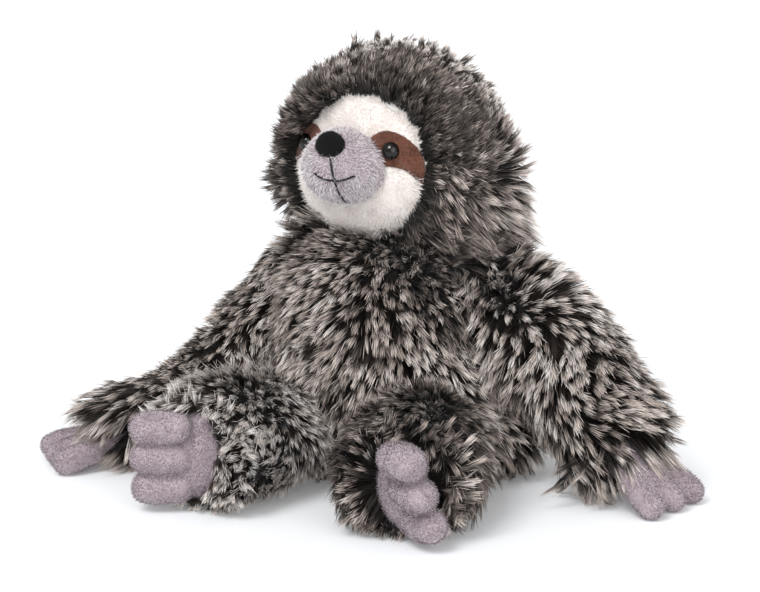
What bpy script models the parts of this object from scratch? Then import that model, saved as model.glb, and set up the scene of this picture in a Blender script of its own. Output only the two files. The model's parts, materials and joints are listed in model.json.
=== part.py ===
"""Plush sloth that sits on the floor with its arms spread and its legs forward.

Metres, +Z up. The toy faces -Y and its left side is +X.
The origin is the middle of the flat seat under the body.
The furry pieces are made to the mean height of their pile.
"""
import math

import bmesh
import bpy
from mathutils import Matrix, Vector

MM = 0.001

# Cloth, and the gaps between sewn or pressed pieces
FUR_CLOTH = 3 * MM
PLAIN_CLOTH = 2 * MM
FIT = 0.3 * MM
JOINT_GAP = 0.7 * MM
NECK_GAP = 0.95 * MM
OVERRUN = 6 * MM

# Body
TORSO_HEIGHT = 137 * MM
TORSO_HALF_WIDTH = 63 * MM
TORSO_HALF_DEPTH = 63 * MM
TORSO_SET_BACK = 3 * MM
TORSO_HEIGHT_SHARES = (0.0, 0.04, 0.14, 0.30, 0.50, 0.66, 0.79, 0.90, 0.97)
TORSO_GIRTH_SHARES = (0.74, 0.86, 0.96, 1.0, 0.98, 0.91, 0.82, 0.64, 0.40)
POUCH_RADIUS = 34 * MM
POUCH_HEIGHT = 20 * MM
POUCH_LIFT = 6 * MM
POUCH_HEIGHT_SHARES = (0.0, 0.2, 0.5, 0.8, 1.0)
POUCH_RADIUS_SHARES = (0.80, 0.96, 1.0, 0.93, 0.62)

# Head, and the neck joint under it
HEAD_BACK = 12 * MM
HEAD_RISE = 46 * MM
HEAD_CENTRE = Vector((0, HEAD_BACK, TORSO_HEIGHT + HEAD_RISE))
HEAD_TURN = math.radians(-10)
HEAD_HALF_WIDTH = 61 * MM
HEAD_HALF_DEPTH = 60 * MM
HEAD_HALF_HEIGHT = 57 * MM
# How full the hood is low at the back: 2 is round, and more is fuller
MANE_ROUNDNESS = 2.5
NECK_DROP = 43 * MM
NECK_RADIUS = 36 * MM
NECK_WAD_RADIUS = 21 * MM
NECK_STALK_RADIUS = 10 * MM
NECK_STALK_LENGTH = 46 * MM
NECK_HOLE_ANGLE = math.radians(50)

# Face: a bulging panel with the muzzle, nose, patches and eyes on it
FACE_FORWARD = 20 * MM
FACE_DROP = 8 * MM
FACE_HALF_WIDTH = 50 * MM
FACE_HALF_DEPTH = 30 * MM
FACE_HALF_HEIGHT = 43 * MM
PANEL_HALF_WIDTH = 43.5 * MM
PANEL_HALF_HEIGHT = 40 * MM
MUZZLE_FORWARD = 49 * MM
MUZZLE_DROP = 6 * MM
MUZZLE_HALF_WIDTH = 24 * MM
MUZZLE_HALF_DEPTH = 20 * MM
MUZZLE_HALF_HEIGHT = 21 * MM
NOSE_FORWARD = 63.5 * MM
NOSE_LIFT = 7.5 * MM
NOSE_HALF_WIDTH = 8.5 * MM
NOSE_HALF_DEPTH = 6 * MM
NOSE_HALF_HEIGHT = 7.5 * MM
THREAD_RADIUS = 0.6 * MM
SMILE_HALF_WIDTH = 11 * MM
SMILE_DROP = 14.5 * MM
SMILE_RISE = 3 * MM
LIP_LINE_TOP = 5 * MM
LIP_LINE_BOTTOM = 23 * MM
EYE_SIDE = 29 * MM
EYE_LIFT = 4.5 * MM
EYE_RADIUS = 5 * MM
EYE_DOME = 3.6 * MM
EYE_STEM_RADIUS = 1.5 * MM
WASHER_RADIUS = 6 * MM
WASHER_THICKNESS = 1.2 * MM
WASHER_BEDDING = 1 * MM
EYE_CLEARANCE = 0.9 * MM
PATCH_CLOTH = 0.8 * MM
PATCH_OUTLINE = (
    (15 * MM, 9 * MM), (22 * MM, 14.5 * MM), (30 * MM, 14 * MM), (37 * MM, 9.5 * MM),
    (42 * MM, 1 * MM), (41 * MM, -11 * MM), (37.5 * MM, -6 * MM), (32 * MM, -4 * MM),
    (26 * MM, -4 * MM), (20.5 * MM, 1 * MM),
)

# Arms and hands
SHOULDER_SIDE = 60 * MM
SHOULDER_BACK = 8 * MM
SHOULDER_HEIGHT = 108 * MM
LEFT_ARM_LENGTH = 114 * MM
RIGHT_ARM_LENGTH = 132 * MM
ARM_RADIUS = 26 * MM
ARM_LENGTH_SHARES = (0.0, 0.10, 0.22, 0.42, 0.64, 0.84, 1.0)
ARM_RADIUS_SHARES = (0.70, 0.82, 0.96, 1.0, 1.0, 0.99, 0.93)
LEFT_ARM_BOW = 10 * MM
RIGHT_ARM_BOW = -18 * MM
LEFT_ARM_FORWARD = math.radians(16)
RIGHT_ARM_FORWARD = math.radians(44)
ARM_RAISE_LIMIT = math.radians(45)
ARM_LOWER_LIMIT = math.radians(3)
LEFT_WRIST_HEIGHT = 34 * MM
RIGHT_WRIST_HEIGHT = 19 * MM
WRIST_BALL_RADIUS = 10.5 * MM
PALM_LENGTH = 40 * MM
PALM_HALF_WIDTH = 19 * MM
PALM_HALF_THICKNESS = 8.5 * MM
PALM_START = 3 * MM
FINGER_RADIUS = 7.4 * MM
FINGER_LENGTH = 31 * MM
FINGER_SPREAD = math.radians(10)
FINGER_START = 25 * MM
FINGER_COUNT = 3

# Legs and feet
LEFT_HIP_SIDE = 52 * MM
RIGHT_HIP_SIDE = 35 * MM
HIP_FORWARD = 43 * MM
LEG_LENGTH = 89 * MM
LEG_RADIUS = 31 * MM
LEG_LENGTH_SHARES = (0.0, 0.15, 0.32, 0.60, 0.84, 0.95, 1.0)
LEG_RADIUS_SHARES = (0.66, 0.76, 0.90, 1.0, 1.0, 0.96, 0.90)
LEFT_LEG_SPLAY = math.radians(11)
RIGHT_LEG_SPLAY = math.radians(9)
LEG_LIFT_LIMIT = math.radians(25)
LEFT_SOLE_TURN_IN = math.radians(35)
RIGHT_SOLE_TURN_IN = math.radians(27)
SOLE_SEAM = 1.5 * MM
SOLE_WIDTH_SHARE = 0.8
SOLE_THICKNESS = 20 * MM
TOE_RADIUS = 9.2 * MM
TOE_LENGTH = 33 * MM
TOE_FORWARD = 5 * MM
TOE_OUT = 4 * MM
TOE_PITCH = 17 * MM
LEFT_TOE_LEAN = 6 * MM
RIGHT_TOE_LEAN = 2 * MM
TOE_COUNT = 3

# How finely each round form is divided
FORM_SIDES = 18
INSIDE_SIDES = 12
FACE_SIDES = 28
BALL_SIDES = 16
JOINT_SIDES = 20
TOE_SIDES = 8
EYE_SIDES = 10
THREAD_SIDES = 6
STITCH_STEPS = 8
CAP_STEPS = 2

# Room in the body for a limb that swings
RELIEF_GAP = 1.6 * MM
SWING_MARGIN = math.radians(3)

FACING = Vector((0, -1, 0))
LEFT = Vector((1, 0, 0))
UP = Vector((0, 0, 1))

FUR = ("long pile fur", (0.20, 0.17, 0.16), 0.95)
VELBOA = ("mauve velboa", (0.33, 0.29, 0.34), 0.85)
CREAM = ("cream velboa", (0.80, 0.74, 0.66), 0.85)
RUST = ("rust velboa", (0.23, 0.07, 0.03), 0.85)
BLACK = ("black velour", (0.01, 0.01, 0.01), 0.8)
THREAD = ("black thread", (0.01, 0.01, 0.012), 0.6)
GLOSS = ("black moulded eye", (0.01, 0.006, 0.004), 0.08)
WHITE_PLASTIC = ("white moulded washer", (0.8, 0.8, 0.78), 0.4)
FILL = ("polyester filling", (0.85, 0.85, 0.83), 1.0)
POUCH_CLOTH = ("pouch cloth", (0.6, 0.6, 0.58), 0.9)


def finish(obj, look):
    """Give a piece its own material and smooth shading."""
    name, colour, roughness = look
    material = bpy.data.materials.new(obj.name + " " + name)
    material.use_nodes = True
    shader = material.node_tree.nodes["Principled BSDF"]
    shader.inputs["Base Color"].default_value = (*colour, 1)
    shader.inputs["Roughness"].default_value = roughness
    shader.inputs["Metallic"].default_value = 0
    obj.data.materials.append(material)
    obj.data.shade_smooth()
    obj.data.set_sharp_from_angle(angle=math.radians(40))


def put(name, mesh_builder, look=None, parent=None):
    """Add a mesh object; with no look it is a cutter."""
    mesh = bpy.data.meshes.new(name)
    mesh_builder.normal_update()
    bmesh.ops.recalc_face_normals(mesh_builder, faces=mesh_builder.faces)
    mesh_builder.to_mesh(mesh)
    mesh_builder.free()
    obj = bpy.data.objects.new(name, mesh)
    bpy.context.collection.objects.link(obj)
    if parent:
        obj.parent = parent
        obj.matrix_parent_inverse = parent.matrix_world.inverted()
    if look:
        finish(obj, look)
    else:
        obj.hide_render = True
        obj.display_type = "WIRE"
    return obj


def combine(obj, other, operation):
    """Add an exact Boolean of one object with another."""
    step = obj.modifiers.new(other.name, "BOOLEAN")
    step.operation = operation
    step.object = other
    step.solver = "EXACT"


def cut(obj, *cutters):
    for cutter in cutters:
        combine(obj, cutter, "DIFFERENCE")


def keep_inside(obj, other):
    combine(obj, other, "INTERSECT")


def loft(rings, start=None, end=None):
    """Skin a list of closed rings, with a point or a flat fan at each end."""
    builder = bmesh.new()
    rows = [[builder.verts.new(point) for point in ring] for ring in rings]
    for row, following in zip(rows, rows[1:]):
        for index in range(len(row)):
            after = (index + 1) % len(row)
            builder.faces.new((row[index], row[after], following[after], following[index]))
    for row, tip in ((rows[0], start), (rows[-1], end)):
        middle = sum((vert.co for vert in row), Vector()) / len(row)
        pole = builder.verts.new(middle if tip is None else tip)
        for index in range(len(row)):
            builder.faces.new((row[index], row[(index + 1) % len(row)], pole))
    return builder


def ring(centre, across, along, width, depth, sides):
    """One elliptical ring of points."""
    turns = [math.tau * index / sides for index in range(sides)]
    return [
        centre + across * (width * math.cos(turn)) + along * (depth * math.sin(turn))
        for turn in turns
    ]


def ellipsoid(centre, half_sizes, axes=(LEFT, FACING, UP), grow=0.0, sides=BALL_SIDES):
    """An ellipsoid with its poles on the last axis."""
    width, depth, height = (half + grow for half in half_sizes)
    rows = sides // 2
    rings = []
    for row in range(1, rows):
        tilt = math.pi * row / rows
        middle = centre - axes[2] * (height * math.cos(tilt))
        spread = math.sin(tilt)
        rings.append(ring(middle, axes[0], axes[1], width * spread, depth * spread, sides))
    return loft(rings, centre - axes[2] * height, centre + axes[2] * height)


def ball(centre, radius, grow=0.0, sides=JOINT_SIDES):
    return ellipsoid(centre, (radius, radius, radius), grow=grow, sides=sides)


def rested(builder, level=0.0):
    """Flatten a form where it lies on the floor."""
    for vert in builder.verts:
        vert.co.z = max(vert.co.z, level)
    return builder


def limb(start, axis, across, length, radius, length_shares, radius_shares, bow=0.0, grow=0.0,
         end="round", sides=FORM_SIDES):
    """A limb that swells and tapers, with a round root and a round, flat or overrun far end."""
    up = across.cross(axis).normalized()
    root = radius * radius_shares[0] + grow
    rings = []
    for step in range(1, CAP_STEPS + 1):
        turn = math.pi / 2 * step / (CAP_STEPS + 1)
        middle = start - axis * (root * math.cos(turn))
        rings.append(ring(middle, across, up, root * math.sin(turn), root * math.sin(turn), sides))
    for along, girth in zip(length_shares, radius_shares):
        middle = start + axis * (length * along) + up * (bow * math.sin(math.pi * along))
        size = radius * girth + grow
        rings.append(ring(middle, across, up, size, size, sides))
    if end == "past":
        rings.append(ring(start + axis * (length + OVERRUN), across, up, size, size, sides))
    if end != "round":
        return loft(rings, start - axis * root)
    tip = radius * radius_shares[-1] + grow
    for step in range(CAP_STEPS, 0, -1):
        turn = math.pi / 2 * step / (CAP_STEPS + 1)
        middle = start + axis * (length * length_shares[-1] + tip * math.cos(turn))
        rings.append(ring(middle, across, up, tip * math.sin(turn), tip * math.sin(turn), sides))
    return loft(rings, start - axis * root, start + axis * (length * length_shares[-1] + tip))


def sausage(start, axis, across, length, radius, grow=0.0):
    """A finger or toe, a little thicker near its tip."""
    length_shares = (0.0, 0.35, 0.7, 1.0)
    radius_shares = (0.92, 0.96, 1.0, 0.9)
    straight = length - radius * (radius_shares[0] + radius_shares[-1])
    first = start + axis * (radius * radius_shares[0])
    return limb(first, axis, across, straight, radius, length_shares, radius_shares,
                grow=grow, sides=TOE_SIDES)


def column(centre, half_width, half_depth, bottom, top, axes=(LEFT, FACING, UP), sides=BALL_SIDES):
    """An elliptical column along the last axis."""
    rings = [
        ring(centre + axes[2] * level, axes[0], axes[1], half_width, half_depth, sides)
        for level in (bottom, top)
    ]
    return loft(rings)


def empty(name, place, turn=0.0, parent=None):
    """The centre of a soft joint, drawn as large as the round end of a wrist."""
    obj = bpy.data.objects.new(name, None)
    obj.empty_display_size = WRIST_BALL_RADIUS
    bpy.context.collection.objects.link(obj)
    obj.location = place
    obj.rotation_euler = (0, 0, turn)
    bpy.context.view_layer.update()
    if parent:
        obj.parent = parent
        obj.matrix_parent_inverse = parent.matrix_world.inverted()
        bpy.context.view_layer.update()
    return obj


class Limb:
    """Where one arm or leg starts, and the way it points at rest."""

    def __init__(self, side, word, start, heading, slope, length, bow=0.0):
        self.side = side
        self.word = word
        self.start = start
        self.length = length
        self.bow = bow
        self.level = Vector((side * math.cos(heading), -math.sin(heading), 0))
        self.across = UP.cross(self.level)
        self.axis = self.level * math.cos(slope) - UP * math.sin(slope)
        self.lift_axis = -self.across

    def up(self):
        return self.across.cross(self.axis) * -1


def arm_places():
    """Each arm, bent out or in along its length, and down to its wrist."""
    left = (1, "left", LEFT_ARM_FORWARD, LEFT_ARM_LENGTH, LEFT_ARM_BOW, LEFT_WRIST_HEIGHT)
    right = (-1, "right", RIGHT_ARM_FORWARD, RIGHT_ARM_LENGTH, RIGHT_ARM_BOW, RIGHT_WRIST_HEIGHT)
    for side, word, heading, length, bow, wrist_height in (left, right):
        start = Vector((side * SHOULDER_SIDE, SHOULDER_BACK, SHOULDER_HEIGHT))
        slope = math.asin((SHOULDER_HEIGHT - wrist_height) / length)
        yield Limb(side, word, start, heading, slope, length, bow)


def leg_places():
    """Each leg, with the turn of its sole and how far each toe leans past the one below."""
    left = (1, "left", LEFT_HIP_SIDE, LEFT_LEG_SPLAY, LEFT_SOLE_TURN_IN, LEFT_TOE_LEAN)
    right = (-1, "right", RIGHT_HIP_SIDE, RIGHT_LEG_SPLAY, RIGHT_SOLE_TURN_IN, RIGHT_TOE_LEAN)
    for side, word, hip_side, splay, turn_in, lean in (left, right):
        start = Vector((side * hip_side, -HIP_FORWARD, LEG_RADIUS - FIT))
        yield Limb(side, word, start, math.pi / 2 - splay, 0.0, LEG_LENGTH), turn_in, lean


def arm_form(place, grow=0.0):
    return limb(place.start, place.axis, -place.across, place.length, ARM_RADIUS,
                ARM_LENGTH_SHARES, ARM_RADIUS_SHARES, bow=place.bow, grow=grow,
                sides=sides_of(grow))


def leg_form(place, grow=0.0, end="flat"):
    return limb(place.start, place.axis, -place.across, place.length, LEG_RADIUS,
                LEG_LENGTH_SHARES, LEG_RADIUS_SHARES, grow=grow, end=end,
                sides=sides_of(grow))


def limb_room(place, form, lowest, highest, name):
    """The room that a limb needs in the body: a socket, and its path as it moves."""
    radius, length_shares, radius_shares = form
    middle = (lowest + highest) / 2
    swing = (highest - lowest) / 2 + SWING_MARGIN
    axis = Matrix.Rotation(middle, 3, place.lift_axis) @ place.axis
    up = axis.cross(place.across)
    turns = [math.tau * (index + 1 / 2) / FORM_SIDES for index in range(FORM_SIDES)]
    rings = []
    for along, girth in zip(length_shares, radius_shares):
        size = radius * girth + RELIEF_GAP
        reach = place.length * along
        sweep = reach * math.sin(swing)
        middle = place.start + axis * (reach * math.cos(swing) - size * math.sin(swing))
        middle += up * (place.bow * math.sin(math.pi * along))
        rings.append([
            middle + place.across * (size * math.cos(turn))
            + up * (size * math.sin(turn) + math.copysign(sweep, math.sin(turn)))
            for turn in turns
        ])
    socket = put(name + "_socket", ball(place.start, radius * radius_shares[0], grow=JOINT_GAP))
    return socket, put(name + "_path", loft(rings))


def sides_of(inset):
    """The filling and the hollow round it are divided more plainly than the skin."""
    return INSIDE_SIDES if inset else FORM_SIDES


def torso_form(inset=0.0):
    """The pear-shaped body, flat under the seat."""
    rings = []
    height = TORSO_HEIGHT - 2 * inset
    for level, girth in zip(TORSO_HEIGHT_SHARES, TORSO_GIRTH_SHARES):
        middle = Vector((0, TORSO_SET_BACK, inset + height * level))
        rings.append(ring(middle, LEFT, FACING, TORSO_HALF_WIDTH * girth - inset,
                          TORSO_HALF_DEPTH * girth - inset, sides_of(inset)))
    return loft(rings, end=Vector((0, TORSO_SET_BACK, inset + height)))


def pouch_form(grow=0.0):
    """The bag of beans low in the body."""
    height = POUCH_HEIGHT + 2 * grow
    rings = []
    for level, girth in zip(POUCH_HEIGHT_SHARES, POUCH_RADIUS_SHARES):
        middle = Vector((0, TORSO_SET_BACK, POUCH_LIFT - grow + height * level))
        radius = POUCH_RADIUS * girth + grow
        rings.append(ring(middle, LEFT, FACING, radius, radius, FORM_SIDES))
    return loft(rings)


def neck_centre():
    return HEAD_CENTRE - UP * NECK_DROP


def neck_wad_form(grow=0.0):
    """A firm wad of filling: a ball in the head on a stalk in the body."""
    rings = []
    radius = NECK_WAD_RADIUS + grow
    stalk = NECK_STALK_RADIUS + grow
    lowest = math.asin(stalk / radius)
    left, ahead, _ = head_axes()
    for level in (-NECK_STALK_LENGTH - grow, -radius * math.cos(lowest)):
        rings.append(ring(neck_centre() + UP * level, left, ahead, stalk, stalk, JOINT_SIDES))
    steps = JOINT_SIDES // 2
    for step in range(1, steps):
        turn = lowest + (math.pi - lowest) * step / steps
        middle = neck_centre() - UP * (radius * math.cos(turn))
        size = radius * math.sin(turn)
        rings.append(ring(middle, left, ahead, size, size, JOINT_SIDES))
    return loft(rings, end=neck_centre() + UP * radius)


def neck_opening():
    """The cone under the head that leaves room for the stalk as the head nods."""
    far = NECK_RADIUS + OVERRUN
    near = NECK_WAD_RADIUS / 2
    left, ahead, _ = head_axes()
    rings = []
    for level in (near, far):
        size = level * math.tan(NECK_HOLE_ANGLE)
        rings.append(ring(neck_centre() - UP * level, left, ahead, size, size, BALL_SIDES))
    return loft(rings)


def head_axes():
    """Sideways, forward and up on the turned head."""
    spin = Matrix.Rotation(HEAD_TURN, 3, "Z")
    return spin @ LEFT, spin @ FACING, UP


def head_point(side, forward, lift):
    left, ahead, up = head_axes()
    return HEAD_CENTRE + left * side + ahead * forward + up * lift


def head_form(inset=0.0):
    """The hood: round above, and fuller low at the back and sides, where the mane falls."""
    left, ahead, up = head_axes()
    width = HEAD_HALF_WIDTH - inset
    depth = HEAD_HALF_DEPTH - inset
    height = HEAD_HALF_HEIGHT - inset
    sides = sides_of(inset)
    rows = sides // 2
    rings = []
    for row in range(1, rows):
        tilt = math.pi * row / rows
        plain = math.sin(tilt)
        full = plain
        if tilt < math.pi / 2:
            full = (1 - math.cos(tilt) ** MANE_ROUNDNESS) ** (1 / MANE_ROUNDNESS)
        middle = HEAD_CENTRE - up * (height * math.cos(tilt)) - ahead * (depth * (full - plain) / 2)
        rings.append(ring(middle, left, ahead, width * full, depth * (full + plain) / 2, sides))
    builder = loft(rings, HEAD_CENTRE - up * height, HEAD_CENTRE + up * height)
    bmesh.ops.triangulate(builder, faces=builder.faces, quad_method="FIXED")
    return builder


def face_form(grow=0.0):
    half_sizes = (FACE_HALF_WIDTH, FACE_HALF_DEPTH, FACE_HALF_HEIGHT)
    return ellipsoid(head_point(0, FACE_FORWARD, -FACE_DROP), half_sizes, head_axes(),
                     grow=grow, sides=FACE_SIDES)


def face_column(grow=0.0):
    """The outline of the face, run forward from the middle of the head."""
    left, ahead, up = head_axes()
    return column(head_point(0, 0, -FACE_DROP), PANEL_HALF_WIDTH + grow, PANEL_HALF_HEIGHT + grow,
                  FACE_FORWARD + PLAIN_CLOTH, HEAD_HALF_DEPTH + OVERRUN, (left, up, ahead),
                  sides=FACE_SIDES)


def muzzle_form(grow=0.0):
    half_sizes = (MUZZLE_HALF_WIDTH, MUZZLE_HALF_DEPTH, MUZZLE_HALF_HEIGHT)
    return ellipsoid(head_point(0, MUZZLE_FORWARD, -MUZZLE_DROP), half_sizes, head_axes(), grow=grow)


def nose_form():
    half_sizes = (NOSE_HALF_WIDTH, NOSE_HALF_DEPTH, NOSE_HALF_HEIGHT)
    return ellipsoid(head_point(0, NOSE_FORWARD, NOSE_LIFT), half_sizes, head_axes(),
                     sides=TOE_SIDES)


def face_depth(side, lift):
    """How far forward the face panel lies at a place on it."""
    across = side / FACE_HALF_WIDTH
    above = (lift + FACE_DROP) / FACE_HALF_HEIGHT
    return FACE_FORWARD + FACE_HALF_DEPTH * math.sqrt(1 - across * across - above * above)


def face_normal(side, lift):
    left, ahead, up = head_axes()
    forward = face_depth(side, lift) - FACE_FORWARD
    slope = (left * (side / FACE_HALF_WIDTH ** 2) + ahead * (forward / FACE_HALF_DEPTH ** 2)
             + up * ((lift + FACE_DROP) / FACE_HALF_HEIGHT ** 2))
    return slope.normalized()


def muzzle_point(side, drop, lift_off):
    """A point just off the muzzle's surface."""
    half_sizes = (MUZZLE_HALF_WIDTH + lift_off, MUZZLE_HALF_DEPTH + lift_off,
                  MUZZLE_HALF_HEIGHT + lift_off)
    across = side / half_sizes[0]
    above = (MUZZLE_DROP - drop) / half_sizes[2]
    ahead = half_sizes[1] * math.sqrt(1 - across * across - above * above)
    return head_point(side, MUZZLE_FORWARD + ahead, -drop)


def thread(name, points, look=None, parent=None):
    """A sewn thread as a thin closed tube."""
    rings = []
    for index, point in enumerate(points):
        ahead = points[min(index + 1, len(points) - 1)] - points[max(index - 1, 0)]
        across = ahead.cross(head_axes()[1]).normalized()
        rings.append(ring(point, across, ahead.cross(across).normalized(),
                          THREAD_RADIUS, THREAD_RADIUS, THREAD_SIDES))
    return put(name, loft(rings), look, parent)


def build_body():
    """Skin, filling, bean pouch and neck wad."""
    skin = put("torso_skin", torso_form(), FUR)
    filling = put("torso_stuffing", torso_form(FUR_CLOTH + FIT), FILL)
    put("bean_pouch", pouch_form(), POUCH_CLOTH)
    cut(skin, put("torso_hollow", torso_form(FUR_CLOTH)))
    cutters = [put("neck_socket", ball(neck_centre(), NECK_RADIUS, grow=NECK_GAP))]
    arm = (ARM_RADIUS, ARM_LENGTH_SHARES, ARM_RADIUS_SHARES)
    leg = (LEG_RADIUS, LEG_LENGTH_SHARES, LEG_RADIUS_SHARES)
    for place in arm_places():
        cutters += limb_room(place, arm, -ARM_LOWER_LIMIT, ARM_RAISE_LIMIT,
                             place.word + "_shoulder")
    for place, _, _ in leg_places():
        cutters += limb_room(place, leg, 0.0, LEG_LIFT_LIMIT, place.word + "_hip")
    cut(skin, *cutters)
    cut(filling, put("neck_stalk_room", neck_wad_form(FIT)), *cutters)
    cut(filling, put("pouch_room", pouch_form(FIT)))
    cut(filling, put("pouch_way_in", column(Vector((0, TORSO_SET_BACK, 0)), POUCH_RADIUS / 2,
                                            POUCH_RADIUS / 2, 0.0, POUCH_LIFT + POUCH_HEIGHT / 2)))
    neck = empty("neck_joint", neck_centre(), HEAD_TURN)
    put("neck_stuffing", neck_wad_form(), FILL, neck)
    return neck


def build_head(neck):
    """Hood, filling and everything on the face."""
    neck_ball = put("head_root", ball(neck_centre(), NECK_RADIUS))
    inner_ball = put("head_root_inside", ball(neck_centre(), NECK_RADIUS, grow=-FUR_CLOTH))
    core_ball = put("head_root_core", ball(neck_centre(), NECK_RADIUS, grow=-FUR_CLOTH - FIT))
    opening = put("neck_opening", neck_opening())
    hollow = put("head_hollow", head_form(FUR_CLOTH))
    combine(hollow, inner_ball, "UNION")
    outline = put("face_outline", face_column(FIT))

    hood = put("head_hood", head_form(), FUR, neck)
    combine(hood, neck_ball, "UNION")
    cut(hood, hollow, opening, outline)

    front = put("face_front", face_column(FUR_CLOTH))
    cut(front, put("face_core", face_form(-PLAIN_CLOTH - FIT)))
    filling = put("head_stuffing", head_form(FUR_CLOTH + FIT), FILL, neck)
    combine(filling, core_ball, "UNION")
    cut(filling, opening, put("neck_wad_room", ball(neck_centre(), NECK_WAD_RADIUS, grow=NECK_GAP)))

    panel = put("face_panel", face_form(), CREAM, neck)
    keep_inside(panel, put("panel_outline", face_column()))
    cut(panel, put("face_back", face_form(-PLAIN_CLOTH)))

    muzzle = put("muzzle", muzzle_form(), VELBOA, neck)
    cut(muzzle, put("muzzle_seat", face_form(FIT)))
    nose = put("nose", nose_form(), BLACK, neck)
    cut(nose, put("nose_seat", muzzle_form(FIT)))

    muzzle_room = put("muzzle_room", muzzle_form(FIT))
    patch_top = put("patch_top", face_form(FIT + PATCH_CLOTH))
    patch_seat = put("patch_seat", face_form(FIT))
    for side, word in ((1, "left"), (-1, "right")):
        build_eye(side, word, neck, panel, filling, (patch_top, patch_seat, muzzle_room))
    cut(filling, front)
    build_mouth(neck)


def build_eye(side, word, neck, panel, filling, patch_cutters):
    """A cloth patch, an eye whose stem goes through it, and the washer behind."""
    patch_top, patch_seat, muzzle_room = patch_cutters
    spot = head_point(side * EYE_SIDE, face_depth(EYE_SIDE, EYE_LIFT), EYE_LIFT)
    out = face_normal(side * EYE_SIDE, EYE_LIFT)
    across = UP.cross(out).normalized()
    axes = (across, out.cross(across), out)

    rows = []
    for forward in (FACE_FORWARD, HEAD_HALF_DEPTH):
        points = [head_point(side * x, forward, z) for x, z in PATCH_OUTLINE]
        rows.append(points if side > 0 else points[::-1])
    patch = put(word + "_eye_patch", loft(rows), RUST, neck)
    keep_inside(patch, patch_top)
    cut(patch, patch_seat, muzzle_room)

    stem_hole = put(word + "_stem_hole", column(spot, EYE_STEM_RADIUS + FIT, EYE_STEM_RADIUS + FIT,
                                                -FACE_HALF_DEPTH / 2, OVERRUN, axes, TOE_SIDES))
    cut(patch, stem_hole)
    cut(panel, stem_hole)

    seat = PATCH_CLOTH + EYE_CLEARANCE
    stem = column(spot, EYE_STEM_RADIUS, EYE_STEM_RADIUS,
                  -PLAIN_CLOTH - WASHER_BEDDING - WASHER_THICKNESS - EYE_CLEARANCE, seat + FIT,
                  axes, TOE_SIDES)
    stem_piece = put(word + "_eye_stem", stem)
    rings = [
        ring(spot + out * (seat + EYE_DOME * math.sin(turn)), axes[0], axes[1],
             EYE_RADIUS * math.cos(turn), EYE_RADIUS * math.cos(turn), EYE_SIDES)
        for turn in (math.pi / 2 * step / (CAP_STEPS + 1) for step in range(CAP_STEPS + 1))
    ]
    eye = put(word + "_eye", loft(rings, end=spot + out * (seat + EYE_DOME)), GLOSS, neck)
    combine(eye, stem_piece, "UNION")

    behind = -PLAIN_CLOTH - WASHER_BEDDING
    washer = put(word + "_eye_washer", column(spot, WASHER_RADIUS, WASHER_RADIUS,
                                              behind - WASHER_THICKNESS, behind, axes, EYE_SIDES),
                 WHITE_PLASTIC, neck)
    cut(washer, stem_hole)
    room = put(word + "_washer_room", column(spot, WASHER_RADIUS + FIT, WASHER_RADIUS + FIT,
                                             behind - WASHER_THICKNESS - EYE_CLEARANCE - FIT,
                                             FACE_HALF_DEPTH, axes, EYE_SIDES))
    cut(filling, room)


def build_mouth(neck):
    """The stitched line under the nose and the smile across it."""
    off = THREAD_RADIUS + FIT
    smile = []
    for step in range(STITCH_STEPS + 1):
        share = 2 * step / STITCH_STEPS - 1
        smile.append(muzzle_point(SMILE_HALF_WIDTH * share,
                                  SMILE_DROP - SMILE_RISE * share * share, off))
    line = []
    for step in range(STITCH_STEPS + 1):
        drop = LIP_LINE_TOP + (LIP_LINE_BOTTOM - LIP_LINE_TOP) * step / STITCH_STEPS
        line.append(muzzle_point(0, drop, off))
    stitch = thread("mouth_stitch", smile, THREAD, neck)
    combine(stitch, thread("lip_line", line), "UNION")


def build_arm(place):
    """Sleeve and filling, with a hand sewn into the end."""
    wrist = place.start + place.axis * place.length
    shoulder = empty(place.word + "_shoulder_joint", place.start)
    socket = put(place.word + "_wrist_socket", ball(wrist, WRIST_BALL_RADIUS, grow=JOINT_GAP))
    past = ARM_RADIUS + OVERRUN
    mouth = put(place.word + "_cuff_mouth", column(
        wrist, past, past, PALM_START / 2, past, (place.across, place.up(), place.axis)))

    sleeve = put(place.word + "_arm_sleeve", rested(arm_form(place)), FUR, shoulder)
    hollow = put(place.word + "_arm_hollow", rested(arm_form(place, -FUR_CLOTH), FUR_CLOTH))
    filling = put(place.word + "_arm_stuffing",
                  rested(arm_form(place, -FUR_CLOTH - FIT), FUR_CLOTH + FIT), FILL, shoulder)
    cut(sleeve, hollow, socket, mouth)
    cut(filling, socket, mouth)
    build_hand(place, wrist, shoulder)


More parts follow.
